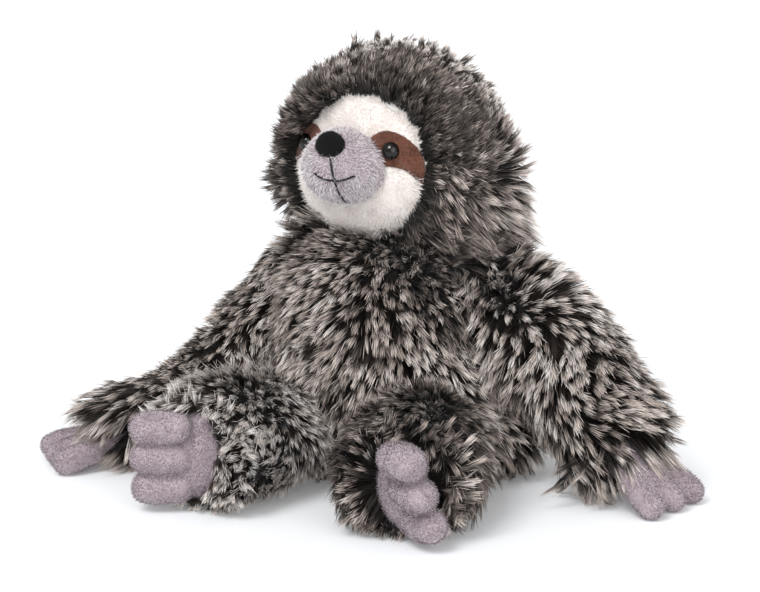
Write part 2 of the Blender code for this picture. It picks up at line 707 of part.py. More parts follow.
def build_hand(place, wrist, shoulder):
    """A stuffed palm on a round root, and three fingers whose tips rest on the floor."""
    joint = empty(place.word + "_wrist_joint", wrist, parent=shoulder)
    tip = FINGER_START + FINGER_LENGTH - FINGER_RADIUS
    droop = math.asin((wrist.z - FINGER_RADIUS + FIT) / tip)
    along = place.level * math.cos(droop) - UP * math.sin(droop)
    above = along.cross(place.across)
    centre = wrist + along * (PALM_START + PALM_LENGTH / 2)
    half_sizes = (PALM_HALF_WIDTH, PALM_HALF_THICKNESS, PALM_LENGTH / 2)
    axes = (place.across, above, along)
    palm = put(place.word + "_hand", rested(ellipsoid(centre, half_sizes, axes)), VELBOA, joint)
    combine(palm, put(place.word + "_hand_root", ball(wrist, WRIST_BALL_RADIUS)), "UNION")
    palm_room = put(place.word + "_hand_room", ellipsoid(centre, half_sizes, axes, grow=FIT))
    previous = None
    for index in range(FINGER_COUNT):
        offset = index - (FINGER_COUNT - 1) / 2
        heading = Matrix.Rotation(-offset * FINGER_SPREAD, 3, above) @ along
        root = wrist + along * FINGER_START - place.across * (offset * 2 * FINGER_RADIUS)
        finger = put(f"{place.word}_finger_{index + 1}", rested(sausage(
            root, heading, above.cross(heading), FINGER_LENGTH, FINGER_RADIUS)), VELBOA, joint)
        cut(finger, palm_room)
        if previous:
            cut(finger, previous)
        previous = put(f"{place.word}_finger_room_{index + 1}", sausage(
            root, heading, above.cross(heading), FINGER_LENGTH, FINGER_RADIUS, grow=FIT))


def build_leg(place, turn_in, lean):
    """Leg sleeve and filling, with the sole and three toes at the end."""
    hip = empty(place.word + "_hip_joint", place.start)
    ahead = Matrix.Rotation(-place.side * turn_in, 3, "Z") @ FACING
    out = Vector((-ahead.y, ahead.x, 0)) * place.side
    centre = place.start + place.axis * LEG_LENGTH
    half_height = LEG_RADIUS * LEG_RADIUS_SHARES[-1] - FUR_CLOTH - SOLE_SEAM
    half_sizes = (half_height * SOLE_WIDTH_SHARE, SOLE_THICKNESS / 2, half_height)
    axes = (out, ahead, UP)
    sole_room = put(place.word + "_sole_room", ellipsoid(centre, half_sizes, axes, grow=FIT))

    sleeve = put(place.word + "_leg_sleeve", rested(leg_form(place)), FUR, hip)
    hollow = put(place.word + "_leg_hollow",
                 rested(leg_form(place, -FUR_CLOTH, "past"), FUR_CLOTH))
    filling = put(place.word + "_leg_stuffing",
                  rested(leg_form(place, -FUR_CLOTH - FIT), FUR_CLOTH + FIT), FILL, hip)
    cut(sleeve, hollow)
    cut(filling, sole_room)
    put(place.word + "_foot_sole", ellipsoid(centre, half_sizes, axes), VELBOA, hip)

    previous = None
    for index in range(TOE_COUNT):
        offset = (TOE_COUNT - 1) / 2 - index
        root = centre + ahead * (TOE_FORWARD + offset * lean) + out * TOE_OUT
        root += UP * (offset * TOE_PITCH)
        toe = put(f"{place.word}_toe_{index + 1}", sausage(
            root, out, ahead, TOE_LENGTH, TOE_RADIUS), VELBOA, hip)
        cut(toe, sole_room)
        if previous:
            cut(toe, previous)
        previous = put(f"{place.word}_toe_room_{index + 1}", sausage(
            root, out, ahead, TOE_LENGTH, TOE_RADIUS, grow=FIT))


def main():
    for obj in list(bpy.data.objects):
        bpy.data.objects.remove(obj, do_unlink=True)
    neck = build_body()
    build_head(neck)
    for place in arm_places():
        build_arm(place)
    for place, turn_in, lean in leg_places():
        build_leg(place, turn_in, lean)


main()
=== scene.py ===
"""Looks of a plush sloth: shaggy tipped fur, short velboa pile, a sewn face and glossy eyes.

Metres, +Z up. The toy faces -Y and its left side is +X.
"""
import json
import math

import bpy
import numpy as np
from mathutils import Matrix, Vector
from mathutils.bvhtree import BVHTree


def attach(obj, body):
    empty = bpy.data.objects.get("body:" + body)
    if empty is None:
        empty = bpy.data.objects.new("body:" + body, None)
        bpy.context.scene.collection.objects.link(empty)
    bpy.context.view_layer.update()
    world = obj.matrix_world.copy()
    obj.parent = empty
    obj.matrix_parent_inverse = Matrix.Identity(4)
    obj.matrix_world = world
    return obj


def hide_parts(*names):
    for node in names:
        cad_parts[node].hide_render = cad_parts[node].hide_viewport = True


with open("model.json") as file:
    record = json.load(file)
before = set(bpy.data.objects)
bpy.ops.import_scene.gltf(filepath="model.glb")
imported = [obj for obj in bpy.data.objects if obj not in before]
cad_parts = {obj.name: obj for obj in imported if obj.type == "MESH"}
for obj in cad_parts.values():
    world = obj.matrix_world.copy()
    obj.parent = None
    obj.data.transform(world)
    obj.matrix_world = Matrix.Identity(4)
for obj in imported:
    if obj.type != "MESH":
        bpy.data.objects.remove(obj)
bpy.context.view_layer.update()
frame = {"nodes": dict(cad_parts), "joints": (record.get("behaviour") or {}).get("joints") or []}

MM = 0.001
SEED = 11

# Camera: the photographed angle, with the frame taken as 760 by 592
CAMERA_AZIMUTH = math.radians(25)
CAMERA_ELEVATION = math.radians(12)
CAMERA_DISTANCE = 1300 * MM
CAMERA_AIM = Vector((-2.7, -1.3, 97.3)) * MM
MM_PER_PIXEL = 0.575
FRAME_WIDTH = 760
SENSOR_WIDTH = 36

# Studio: a key from the upper left, a fill from the right, a white surround and a pale floor
KEY_RISE = 1.1
KEY_ASIDE = 0.6
KEY_SOFTNESS = math.radians(28)
KEY_POWER = 1.95
FILL_RISE = 0.2
FILL_ASIDE = 0.4
FILL_SOFTNESS = math.radians(50)
FILL_POWER = 1.2
SURROUND_POWER = 0.62
FLOOR_GLOW = 0.12
FLOOR_HALF = 6000 * MM

# Body, as the solid under the fur has it
TORSO_HEIGHT = 137 * MM
TORSO_RADIUS = 63 * MM
TORSO_SET_BACK = 3 * MM
HIP_FULLNESS = 21 * MM
HIP_HEIGHT = 24 * MM
TORSO_HEIGHT_SHARES = (0.0, 0.04, 0.14, 0.30, 0.50, 0.66, 0.79, 0.90, 0.97, 1.0)
TORSO_GIRTH_SHARES = (0.74, 0.86, 0.96, 1.0, 0.98, 0.91, 0.82, 0.64, 0.40, 0.1)
SKIN_DEPTH = 2 * MM

# Head and face
HEAD_CENTRE = Vector((0, 12, 183)) * MM
HEAD_TURN = math.radians(-10)
HEAD_HALVES = (61 * MM, 60 * MM, 57 * MM)
MANE_ROUNDNESS = 2.5
NECK_RADIUS = 36 * MM
NECK_INSET = 3 * MM
FACE_FORWARD = 20 * MM
FACE_DROP = 8 * MM
FACE_HALVES = (50 * MM, 30 * MM, 43 * MM)
RIM_SOFTNESS = 0.01
RIM_FULLNESS = 0.8
FAR_RIM_LOSS = 0.65
FAR_RIM_SPAN = 25 * MM
PANEL_SIDE = 2.5 * MM
PANEL_HALF_WIDTH = 43 * MM
PANEL_HALF_HEIGHT = 42 * MM
PANEL_BROW = 0.5 * MM
PANEL_SKEW = 5.5 * MM
PANEL_CLOTH = 2 * MM
PANEL_BED = 3 * MM
PANEL_TURN_IN = 2.5 * MM
CHEEK_SIDE = 20 * MM
CHEEK_DROP = 24 * MM
CHEEK_SPREAD = 12 * MM
CHEEK_RISE = 1.6 * MM
BROW_LIFT = 20 * MM
BROW_WIDTH = 20 * MM
BROW_SPREAD = 10 * MM
BROW_RISE = 1 * MM
CHIN_SEAM_WIDTH = 1.2 * MM
CHIN_SEAM_DEPTH = 0.9 * MM
MUZZLE_SIDE = 1 * MM
MUZZLE_FORWARD = 49 * MM
MUZZLE_DROP = 6 * MM
MUZZLE_HALVES = (25 * MM, 20 * MM, 21 * MM)
LOBE_SIDE = 10 * MM
LOBE_WIDTH = 7 * MM
LOBE_DROP = 9 * MM
LOBE_HEIGHT = 10 * MM
LOBE_RISE = 1.6 * MM
GROOVE_WIDTH = 1.6 * MM
GROOVE_DEPTH = 1 * MM
BRIDGE_WIDTH = 11 * MM
BRIDGE_RISE = 2 * MM
NOSE_SIDE = 1.6 * MM
NOSE_FORWARD = 63.5 * MM
NOSE_LIFT = 6.4 * MM
NOSE_HALVES = (9.2 * MM, 6.4 * MM, 8.8 * MM)
THREAD_RADIUS = 0.6 * MM
THREAD_PROUD = 1 * MM
MOUTH_SIDE = 8 * MM
LIP_LINE_LEAN = 2.5 * MM
SMILE_HALF_WIDTH = 11 * MM
SMILE_DROP = 10.5 * MM
SMILE_RISE = 3.4 * MM
LIP_LINE_TOP = -1 * MM
LIP_LINE_BOTTOM = 24 * MM
EYE_SIDE = 29 * MM
EYE_LIFT = 4.5 * MM
EYE_RADIUS = 5 * MM
EYE_DOME = 3.8 * MM
EYE_STAND = 1.5 * MM
EYE_SUNK = 0.5 * MM
PATCH_CLOTH = 0.9 * MM
PATCH_CROWN = PATCH_CLOTH + 0.2 * MM
PATCH_OUTLINE = (
    (15, 9), (18, 12.5), (22, 14.8), (26, 15.4), (30, 14.8), (34, 13.2), (38, 10.8), (42, 7),
    (45.2, 1), (46, -6), (44.5, -13), (42, -9.5), (39, -6.6), (35.5, -5), (32, -4.2), (29, -3.9),
    (26, -4), (23, -2), (20.5, 1), (17.6, 5),
)

# Limbs
ARM_RADIUS = 26 * MM
ARM_LENGTH_SHARES = (0.0, 0.10, 0.22, 0.42, 0.64, 0.84, 1.0)
ARM_RADIUS_SHARES = (0.70, 0.82, 0.96, 1.0, 1.0, 0.99, 0.93)
LEFT_ARM_BOW = 10 * MM
RIGHT_ARM_BOW = -18 * MM
ARM_LOWEST = 1 * MM
LEG_LENGTH = 89 * MM
LEG_RADIUS = 31 * MM
LEG_LENGTH_SHARES = (0.0, 0.15, 0.32, 0.60, 0.84, 0.95, 1.0)
LEG_RADIUS_SHARES = (0.66, 0.76, 0.90, 1.0, 1.0, 0.96, 0.90)
LEG_LOWEST = 1 * MM
LEG_CUFF = 0.8 * MM
WRIST_RADIUS = 10.5 * MM
PALM_START = 3 * MM
PALM_LENGTH = 40 * MM
PALM_HALF_WIDTH = 19 * MM
PALM_HALF_THICKNESS = 8.5 * MM
HAND_LOWEST = 0.3 * MM
FINGER_RADIUS = 7.4 * MM
FINGER_LENGTH = 31 * MM
FINGER_START = 25 * MM
FINGER_SPREAD = math.radians(10)
FINGER_COUNT = 3
LEFT_SOLE_TURN = math.radians(35)
RIGHT_SOLE_TURN = math.radians(27)
SOLE_HALVES = (19.5 * MM, 10 * MM, 23.4 * MM)
TOE_RADIUS = 9.2 * MM
TOE_LENGTH = 33 * MM
TOE_FORWARD = 5 * MM
TOE_OUT = 4 * MM
TOE_PITCH = 17 * MM
LEFT_TOE_LEAN = 6 * MM
RIGHT_TOE_LEAN = 2 * MM
TOE_COUNT = 3
DIGIT_LENGTH_SHARES = (0.0, 0.35, 0.7, 1.0)
DIGIT_RADIUS_SHARES = (0.90, 0.95, 1.0, 0.93)
SEWING_VOXEL = 1 * MM
SEWING_ROUNDS = 3
ROUND_END_STEPS = 6

# Long fur: tufts of tapering strands, some of them loose
TUFT_SPACING = 4.2 * MM
FACE_RIM_SPACING = 2.6 * MM
STRAND_WIDTH = 0.44 * MM
LOOSE_SHARE = 0.22
LOOSE_STRAY = 3.5
TORSO_FUR = 20.5 * MM
HEAD_FUR = 20 * MM
FACE_RIM_FUR = 14 * MM
NECK_FUR = 20 * MM
ARM_FUR = 21 * MM
LEG_FUR = 21 * MM
LONG_TUFT = {
    "count": 26, "radius": 2.9 * MM, "gather": 0.62, "stray": 0.6 * MM,
    "steps": (0.0, 0.7, 1.0), "width_shares": (0.9, 1.1, 0.0), "lowest": 0.4 * MM,
}

# Short pile: single fibres
SHORT_FIBRE = {
    "count": 1, "radius": 0.0, "gather": 0.0, "stray": 0.15 * MM,
    "steps": (0.0, 1.0), "width_shares": (1.0, 0.0), "lowest": 0.05 * MM,
}
HAND_AND_FOOT_PILE = {
    "spacing": 0.8 * MM, "length": 1.8 * MM, "width": 0.5 * MM, "lean": 0.35, "tone": 0.15,
}

# Strands of both kinds
FLOOR_CRUSH = 0.4 * MM
PATH_STEPS = 14
TONES = 64
TONE_SCATTER = 7.0

UP = np.array((0.0, 0.0, 1.0))
HEAD_MIDDLE = np.array(HEAD_CENTRE)
HEAD_SPIN = np.array(Matrix.Rotation(HEAD_TURN, 3, "Z"))
HEAD_LEFT = HEAD_SPIN @ np.array((1.0, 0, 0))
HEAD_AHEAD = HEAD_SPIN @ np.array((0, -1.0, 0))
HEAD_AXES = (HEAD_LEFT, HEAD_AHEAD, UP)
rng = np.random.default_rng(SEED)
joints = {joint["name"]: joint for joint in frame["joints"]}


def linear(code):
    """Turn an sRGB hex colour into the linear colour that a shader takes."""
    parts = [int(code[at:at + 2], 16) / 255 for at in (1, 3, 5)]
    return tuple(c / 12.92 if c <= 0.04045 else ((c + 0.055) / 1.055) ** 2.4 for c in parts) + (1,)


def unit(vectors):
    """Bring vectors to length one."""
    vectors = np.asarray(vectors, float)
    return vectors / np.maximum(np.linalg.norm(vectors, axis=-1, keepdims=True), 1e-12)


def rise(value, start, span):
    """0 up to the start, then up to 1 over the span."""
    return np.clip((value - start) / span, 0, 1)


def fall(value, start, span):
    """0 down to the start, then up to 1 over the span below it."""
    return np.clip((start - value) / span, 0, 1)


def hump(*distances):
    """1 where each distance is nought, and fading over the spread given with it."""
    total = 0.0
    for distance, spread in distances:
        total = total - (distance / spread)**2
    return np.exp(total)


def on_head(side, forward, lift):
    """World places from places told in the head's own directions."""
    side, forward, lift = (np.asarray(value, float)[..., None] for value in (side, forward, lift))
    return HEAD_MIDDLE + HEAD_LEFT * side + HEAD_AHEAD * forward + UP * lift


def in_head(points):
    """Side, forward and lift of world places."""
    away = points - HEAD_MIDDLE
    return away @ HEAD_LEFT, away @ HEAD_AHEAD, away @ UP


def smooth_values(shares, values, at):
    """Read a smooth curve through the listed values."""
    shares = np.asarray(shares, float)
    values = np.asarray(values, float)
    slopes = np.gradient(values, shares)
    index = np.clip(np.searchsorted(shares, at) - 1, 0, len(shares) - 2)
    span = shares[index + 1] - shares[index]
    t = (at - shares[index]) / span
    return ((2 * t**3 - 3 * t**2 + 1) * values[index] + (t**3 - 2 * t**2 + t) * span * slopes[index]
            + (3 * t**2 - 2 * t**3) * values[index + 1] + (t**3 - t**2) * span * slopes[index + 1])


class Form:
    """A smooth closed surface as corners and faces, with a normal at each corner."""

    def __init__(self, corners, faces):
        self.corners = np.asarray(corners, float)
        self.triangles = np.array([
            (face[0], face[k], face[k + 1]) for face in faces for k in range(1, len(face) - 1)])
        self.faces = [tuple(int(i) for i in face) for face in faces]
        self.measure()

    def measure(self):
        """Work out each triangle's area and each corner's normal."""
        a, b, c = (self.corners[self.triangles[:, k]] for k in range(3))
        flat = np.cross(b - a, c - a)
        self.areas = np.linalg.norm(flat, axis=1) / 2
        normals = np.zeros_like(self.corners)
        for k in range(3):
            np.add.at(normals, self.triangles[:, k], flat)
        self.normals = unit(normals)

    def scatter(self, spacing):
        """Places spread evenly over the surface, with their normals."""
        count = int(self.areas.sum() / spacing**2 * 4)
        which = rng.choice(len(self.areas), count, p=self.areas / self.areas.sum())
        first, second = rng.random(count), rng.random(count)
        fold = first + second > 1
        first[fold], second[fold] = 1 - first[fold], 1 - second[fold]
        weights = np.stack((1 - first - second, first, second), 1)[:, :, None]
        corners = self.triangles[which]
        places = (self.corners[corners] * weights).sum(1)
        normals = unit((self.normals[corners] * weights).sum(1))
        cells = np.floor(places / spacing).astype(int)
        _, keep = np.unique(cells, axis=0, return_index=True)
        keep.sort()
        return places[keep], normals[keep]

    def tree(self):
        """The surface as something to cast rays at."""
        return BVHTree.FromPolygons([tuple(p) for p in self.corners], self.triangles.tolist())


def loft(rings, start, end):
    """Corners and faces of a skin over rings, closed by a point at each end."""
    rings = np.asarray(rings)
    rows, sides = rings.shape[:2]
    corners = np.concatenate((rings.reshape(-1, 3), [start], [end]))
    faces = []
    for row in range(rows - 1):
        for side in range(sides):
            after = (side + 1) % sides
            faces.append((row * sides + side, row * sides + after,
                          (row + 1) * sides + after, (row + 1) * sides + side))
    last = (rows - 1) * sides
    for side in range(sides):
        after = (side + 1) % sides
        faces.append((after, side, rows * sides))
        faces.append((last + side, last + after, rows * sides + 1))
    return corners, faces


def facing_out(corners, faces):
    """Turn the faces over where they look inward."""
    form = Form(corners, faces)
    away = form.corners - form.corners.mean(0)
    if (form.normals * away).sum() < 0:
        form = Form(corners, [face[::-1] for face in faces])
    return form


def ellipsoid(centre, halves, axes, rows=24, sides=40):
    """An ellipsoid whose poles lie on the last axis."""
    centre = np.asarray(centre, float)
    turns = np.arange(sides) * math.tau / sides
    rings = []
    for row in range(1, rows):
        tilt = math.pi * row / rows
        rings.append(centre - axes[2] * halves[2] * math.cos(tilt)
                     + math.sin(tilt) * (np.cos(turns)[:, None] * axes[0] * halves[0]
                                         + np.sin(turns)[:, None] * axes[1] * halves[1]))
    return facing_out(*loft(rings, centre - axes[2] * halves[2], centre + axes[2] * halves[2]))


def swelling(start, axis, across, length, radius, length_shares, radius_shares, bow=0.0,
             inset=0.0, rows=36, sides=40, lowest=None):
    """A limb that swells and tapers between round ends."""
    up = unit(np.cross(across, axis))
    turns = np.arange(sides) * math.tau / sides
    around = np.cos(turns)[:, None] * across + np.sin(turns)[:, None] * up
    end_turns = [math.pi / 2 * step / ROUND_END_STEPS for step in range(1, ROUND_END_STEPS)]
    rings = []
    first = radius * radius_shares[0] - inset
    last = radius * radius_shares[-1] - inset
    for turn in end_turns:
        rings.append(start - axis * first * math.cos(turn) + around * first * math.sin(turn))
    for along in np.linspace(0, 1, rows):
        size = float(smooth_values(length_shares, radius_shares, along)) * radius - inset
        rings.append(start + axis * length * along + up * bow * math.sin(math.pi * along)
                     + around * size)
    for turn in reversed(end_turns):
        rings.append(start + axis * (length + last * math.cos(turn))
                     + around * last * math.sin(turn))
    form = facing_out(*loft(rings, start - axis * first, start + axis * (length + last)))
    if lowest is not None:
        form.corners[:, 2] = np.maximum(form.corners[:, 2], lowest)
        form.measure()
    return form


def off_axis(points, start, axis):
    """How far and which way each place lies from a limb's axis."""
    away = points - start
    return away - axis * (away @ axis)[:, None]


def cut_off(form, start, axis, length):
    """Flatten the far end of a limb."""
    along = (form.corners - start) @ axis
    form.corners -= axis * np.clip(along - length, 0, None)[:, None]
    form.measure()


def digit(root, heading, across, length, radius):
    """A finger or toe, thickest near its tip."""
    straight = length - radius * 1.85
    return swelling(root + heading * radius * 0.92, heading, across, straight, radius,
                    DIGIT_LENGTH_SHARES, DIGIT_RADIUS_SHARES, rows=16, sides=24)


# Pieces

def piece_from(name, corners, faces):
    """Make an object of corners and faces."""
    mesh = bpy.data.meshes.new(name)
    mesh.from_pydata([tuple(p) for p in corners], [], faces)
    mesh.update()
    mesh.shade_smooth()
    obj = bpy.data.objects.new(name, mesh)
    bpy.context.scene.collection.objects.link(obj)
    return obj


def finish(obj, look):
    """Give a piece its one material."""
    obj.data.materials.clear()
    obj.data.materials.append(look)


def dress(obj, body, look, stands_for=()):
    """Finish a piece: its material, the body it rides on, and what it stands for."""
    finish(obj, look)
    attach(obj, body)
    if stands_for:
        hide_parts(*stands_for)
    return obj


def sewn(name, form, body, look, stands_for=()):
    """Make a piece of a form, and finish it."""
    return dress(piece_from(name, form.corners, form.faces), body, look, stands_for)


def merged(name, forms):
    """Sew several forms into one soft skin, with creases where they meet."""
    corners, faces, count = [], [], 0
    for form in forms:
        corners.append(form.corners)
        faces += [tuple(i + count for i in face) for face in form.faces]
        count += len(form.corners)
    obj = piece_from(name, np.concatenate(corners), faces)
    step = obj.modifiers.new("sew", "REMESH")
    step.mode = "VOXEL"
    step.voxel_size = SEWING_VOXEL
    step = obj.modifiers.new("soften", "SMOOTH")
    step.factor = 0.5
    step.iterations = SEWING_ROUNDS
    bpy.context.view_layer.update()
    made = bpy.data.meshes.new_from_object(
        obj.evaluated_get(bpy.context.evaluated_depsgraph_get()))
    obj.modifiers.clear()
    obj.data = made
    made.name = name
    made.shade_smooth()
    return obj


def form_of(obj):
    """Read a finished mesh back as a form."""
    mesh = obj.data
    corners = np.empty(len(mesh.vertices) * 3)
    mesh.vertices.foreach_get("co", corners)
    return Form(corners.reshape(-1, 3), [tuple(face.vertices) for face in mesh.polygons])


def settle(obj, lowest):
    """Rest a soft piece on the floor."""
    for vert in obj.data.vertices:
        vert.co.z = max(vert.co.z, lowest)


# Materials

def material(name, sockets):
    """A new node material and its shader, with what is the same all over it."""
    made = bpy.data.materials.new(name)
    made.use_nodes = True
    shader = made.node_tree.nodes["Principled BSDF"]
    for socket, value in sockets.items():
        shader.inputs[socket].default_value = value
    return made, shader


def add(owner, kind, settings=None, **links):
    """Add a node: its settings, a ramp's stops among them, and what feeds each input."""
    node = owner.node_tree.nodes.new(kind)
    for key, value in (settings or {}).items():
        if key == "stops":
            points = node.color_ramp.elements
            while len(points) < len(value):
                points.new(1.0)
            for point, (place, colour) in zip(points, value):
                point.position = place
                point.color = linear(colour) if isinstance(colour, str) else (colour,) * 3 + (1,)
        elif key in node.inputs:
            node.inputs[key].default_value = value
        else:
            setattr(node, key, value)
    for key, output in links.items():
        place = int(key[1:]) if key[0] == "_" else key
        owner.node_tree.links.new(output, node.inputs[place])
    return node


def strand_material(name, roots, tips, change, roughness, sheen):
    """Fibre with one dye at its root and another at its tip, each in a tone that varies by tuft."""
    made, shader = material(name, {
        "Roughness": roughness, "Sheen Weight": sheen, "Sheen Roughness": 0.4,
        "Specular IOR Level": 0.3})
    place = add(made, "ShaderNodeUVMap", {"uv_map": "OFBake"})
    parts = add(made, "ShaderNodeSeparateXYZ", Vector=place.outputs["UV"])
    tip = add(made, "ShaderNodeValToRGB", {"stops": tips}, Fac=parts.outputs["X"])
    along = add(made, "ShaderNodeValToRGB", {"stops": change}, Fac=parts.outputs["Y"])
    root = add(made, "ShaderNodeValToRGB", {"stops": roots}, Fac=parts.outputs["X"])
    mix = add(made, "ShaderNodeMix", {"data_type": "RGBA"},
              _0=along.outputs["Color"], _6=root.outputs["Color"], _7=tip.outputs["Color"])
    made.node_tree.links.new(mix.outputs[2], shader.inputs["Base Color"])
    return made


def cloth_material(name, low, high, grain, bump, sheen=0.3):
    """Short pile seen as a soft nap: two close tones and a fine bump at the size of the fibres."""
    made, shader = material(name, {
        "Roughness": 0.9, "Sheen Weight": sheen, "Sheen Roughness": 0.5,
        "Specular IOR Level": 0.2})
    place = add(made, "ShaderNodeTexCoord")
    fine = add(made, "ShaderNodeTexNoise", {"Scale": 1 / grain, "Detail": 3.0, "Roughness": 0.6},
               Vector=place.outputs["Object"])
    broad = add(made, "ShaderNodeTexNoise", {"Scale": 1 / (12 * grain), "Detail": 2.0},
                Vector=place.outputs["Object"])
    blend = add(made, "ShaderNodeMath", {"operation": "ADD", "use_clamp": True},
                _0=fine.outputs["Fac"], _1=broad.outputs["Fac"])
    tone = add(made, "ShaderNodeValToRGB", {"stops": ((0.75, low), (1.0, high))},
               Fac=blend.outputs[0])
    made.node_tree.links.new(tone.outputs["Color"], shader.inputs["Base Color"])
    raised = add(made, "ShaderNodeBump", {"Strength": 0.6, "Distance": bump},
                 Height=fine.outputs["Fac"])
    made.node_tree.links.new(raised.outputs["Normal"], shader.inputs["Normal"])
    return made


def clouded_material(name, low, high, size, sockets):
    """A plain smooth surface: two close tones in soft clouds of the given size."""
    made, shader = material(name, sockets)
    place = add(made, "ShaderNodeTexCoord")
    cloud = add(made, "ShaderNodeTexNoise", {"Scale": 1 / size}, Vector=place.outputs["Object"])
    tone = add(made, "ShaderNodeValToRGB", {"stops": ((0.3, low), (0.7, high))},
               Fac=cloud.outputs["Fac"])
    made.node_tree.links.new(tone.outputs["Color"], shader.inputs["Base Color"])
    return made


# How far along a fibre its tip's dye begins and is whole: late on long fur, evenly on pile
TIPPED = ((0.62, 0.0), (0.77, 0.5), (0.88, 1.0))
EVEN = ((0.1, 0.0), (0.9, 1.0))

# Tipped faux fur, knitted acrylic pile: charcoal at the root and taupe to pale beige at the tip,
# so tufts look frosted. A fibre is 0.05 mm thick and is drawn at 0.44 mm, so that it shows
long_fur = strand_material(
    "tipped faux fur", ((0.0, "#0f0b08"), (0.5, "#1c1511"), (1.0, "#3b2f28")),
    ((0.0, "#3d3633"), (0.22, "#998b83"), (0.45, "#dccec5"), (0.7, "#f1e8e2"), (1.0, "#faf5f1")),
    TIPPED, roughness=0.55, sheen=0.15)
# Knitted polyester backing, dyed dark: it shows only as depth between the tufts
fur_backing = cloth_material("dark knitted backing", "#141210", "#231f1d", 1.2 * MM, 0.6 * MM)
# Mauve velboa, short knitted polyester pile: a soft nap with a pale bloom on its edges.
# Its fibres, and those of the other piles, are drawn at 0.25 to 0.6 mm, so that they show
mauve_velboa = cloth_material("mauve velboa", "#8a7a82", "#b0a0a8", 1.1 * MM, 0.6 * MM, sheen=1.0)
mauve_pile = strand_material(
    "mauve velboa pile", ((0.0, "#67595f"), (1.0, "#96878e")),
    ((0.0, "#9e8f97"), (0.5, "#d2c6cb"), (1.0, "#fcfafb")), EVEN, roughness=0.7, sheen=0.9)
# Cream velboa: the same pile undyed, a matt warm white with no shine
cream_velboa = cloth_material("cream velboa", "#e4dbd5", "#f1ebe7", 1.0 * MM, 0.4 * MM)
cream_pile = strand_material(
    "cream velboa pile", ((0.0, "#dad0c9"), (1.0, "#ece5e0")),
    ((0.0, "#ece5e1"), (0.5, "#f2eeeb"), (1.0, "#fbf9f8")), EVEN, roughness=0.8, sheen=0.3)
# Rust brown velboa: clipped shorter, so the brown stays deep
rust_velboa = cloth_material("rust brown velboa", "#4b2b20", "#6d4536", 0.8 * MM, 0.4 * MM)
rust_pile = strand_material(
    "rust brown pile", ((0.0, "#35190f"), (1.0, "#522d20")),
    ((0.0, "#5a3324"), (0.5, "#7a5142"), (1.0, "#a47e70")), EVEN, roughness=0.8, sheen=0.2)
# Black velour: so short and dark that it takes the light and gives almost none back
black_velour = cloth_material("black velour", "#030304", "#0a0a0c", 0.6 * MM, 0.3 * MM, sheen=0.05)
black_pile = strand_material(
    "black velour pile", ((0.0, "#030304"), (1.0, "#060607")),
    ((0.0, "#070709"), (1.0, "#131216")), EVEN, roughness=0.8, sheen=0.05)
# Twisted cotton thread, dyed black: a matt line
thread_cotton = cloth_material("black embroidery thread", "#08080a", "#17161a", 0.3 * MM, 0.2 * MM)
# Crimped polyester fibre: white wadding, hidden inside
filling_fibre = cloth_material("polyester filling", "#d9d7d2", "#f2f1ee", 2.0 * MM, 1.5 * MM)
# Plain woven cotton: an unbleached bag, hidden inside
pouch_cloth = cloth_material("plain cotton pouch", "#a8a59f", "#c4c1ba", 0.6 * MM, 0.3 * MM)
# Polished acrylic: near black, with a sharp highlight
acrylic = clouded_material("polished black acrylic", "#050403", "#0d0806", 2.5 * MM,
                           {"Roughness": 0.05, "IOR": 1.45})
# Moulded polyethylene: milky and slightly waxy, hidden inside
washer_plastic = clouded_material("moulded polyethylene", "#d5d6d2", "#e6e6e2", 10 / 3 * MM,
                                  {"Roughness": 0.4})
# Matt white studio board with a painted glow: it gives off a little light of its own, so the floor
# stays white under the toy's shadow
studio_board = clouded_material(
    "pale matt floor", "#eff2f5", "#f3f5f8", 125 * MM,
    {"Roughness": 0.6, "Emission Color": (1, 1, 1, 1), "Emission Strength": FLOOR_GLOW})


# Fibres

def swirl(points, size, key):
    """A smooth random field from about -1 to 1 whose patches are about the given size."""
    waves = np.random.default_rng(key)
    total = np.zeros(len(points))
    for _ in range(5):
        direction = unit(waves.normal(size=3)) * math.tau / (size * waves.uniform(1.5, 3.0))
        total += np.sin(points @ direction + waves.uniform(0, math.tau))
    return total / 2.5


def planted(form, spacing, keep):
    """Roots over a form with their normals, where the rule keeps them."""
    roots, normals = form.scatter(spacing)
    if keep is None:
        return roots, normals
    chosen = keep(roots, normals)
    return roots[chosen], normals[chosen]


def told(rule, points, normals):
    """What a rule says at each place, or the one value that holds at all of them."""
    if callable(rule):
        return rule(points, normals)
    return np.broadcast_to(rule, (len(points),) + np.shape(rule))


def combed(normals, wanted, turn):
    """The wanted direction laid on the surface, then turned about the normal."""
    flat = unit(wanted - normals * (wanted * normals).sum(1, keepdims=True))
    other = np.cross(normals, flat)
    return flat * np.cos(turn)[:, None] + other * np.sin(turn)[:, None]


def tuft_paths(normals, comb, lean, lean_end, length):
    """The line that each tuft follows, which leans further over towards its tip."""
    samples = np.linspace(0, 1, PATH_STEPS + 1)
    path = np.zeros((PATH_STEPS + 1, len(normals), 3))
    for index in range(PATH_STEPS):
        middle = (samples[index] + samples[index + 1]) / 2
        bend = lean + (lean_end - lean) * middle
        heading = normals * np.cos(bend)[:, None] + comb * np.sin(bend)[:, None]
        path[index + 1] = path[index] + heading * (length / PATH_STEPS)[:, None]
    return path


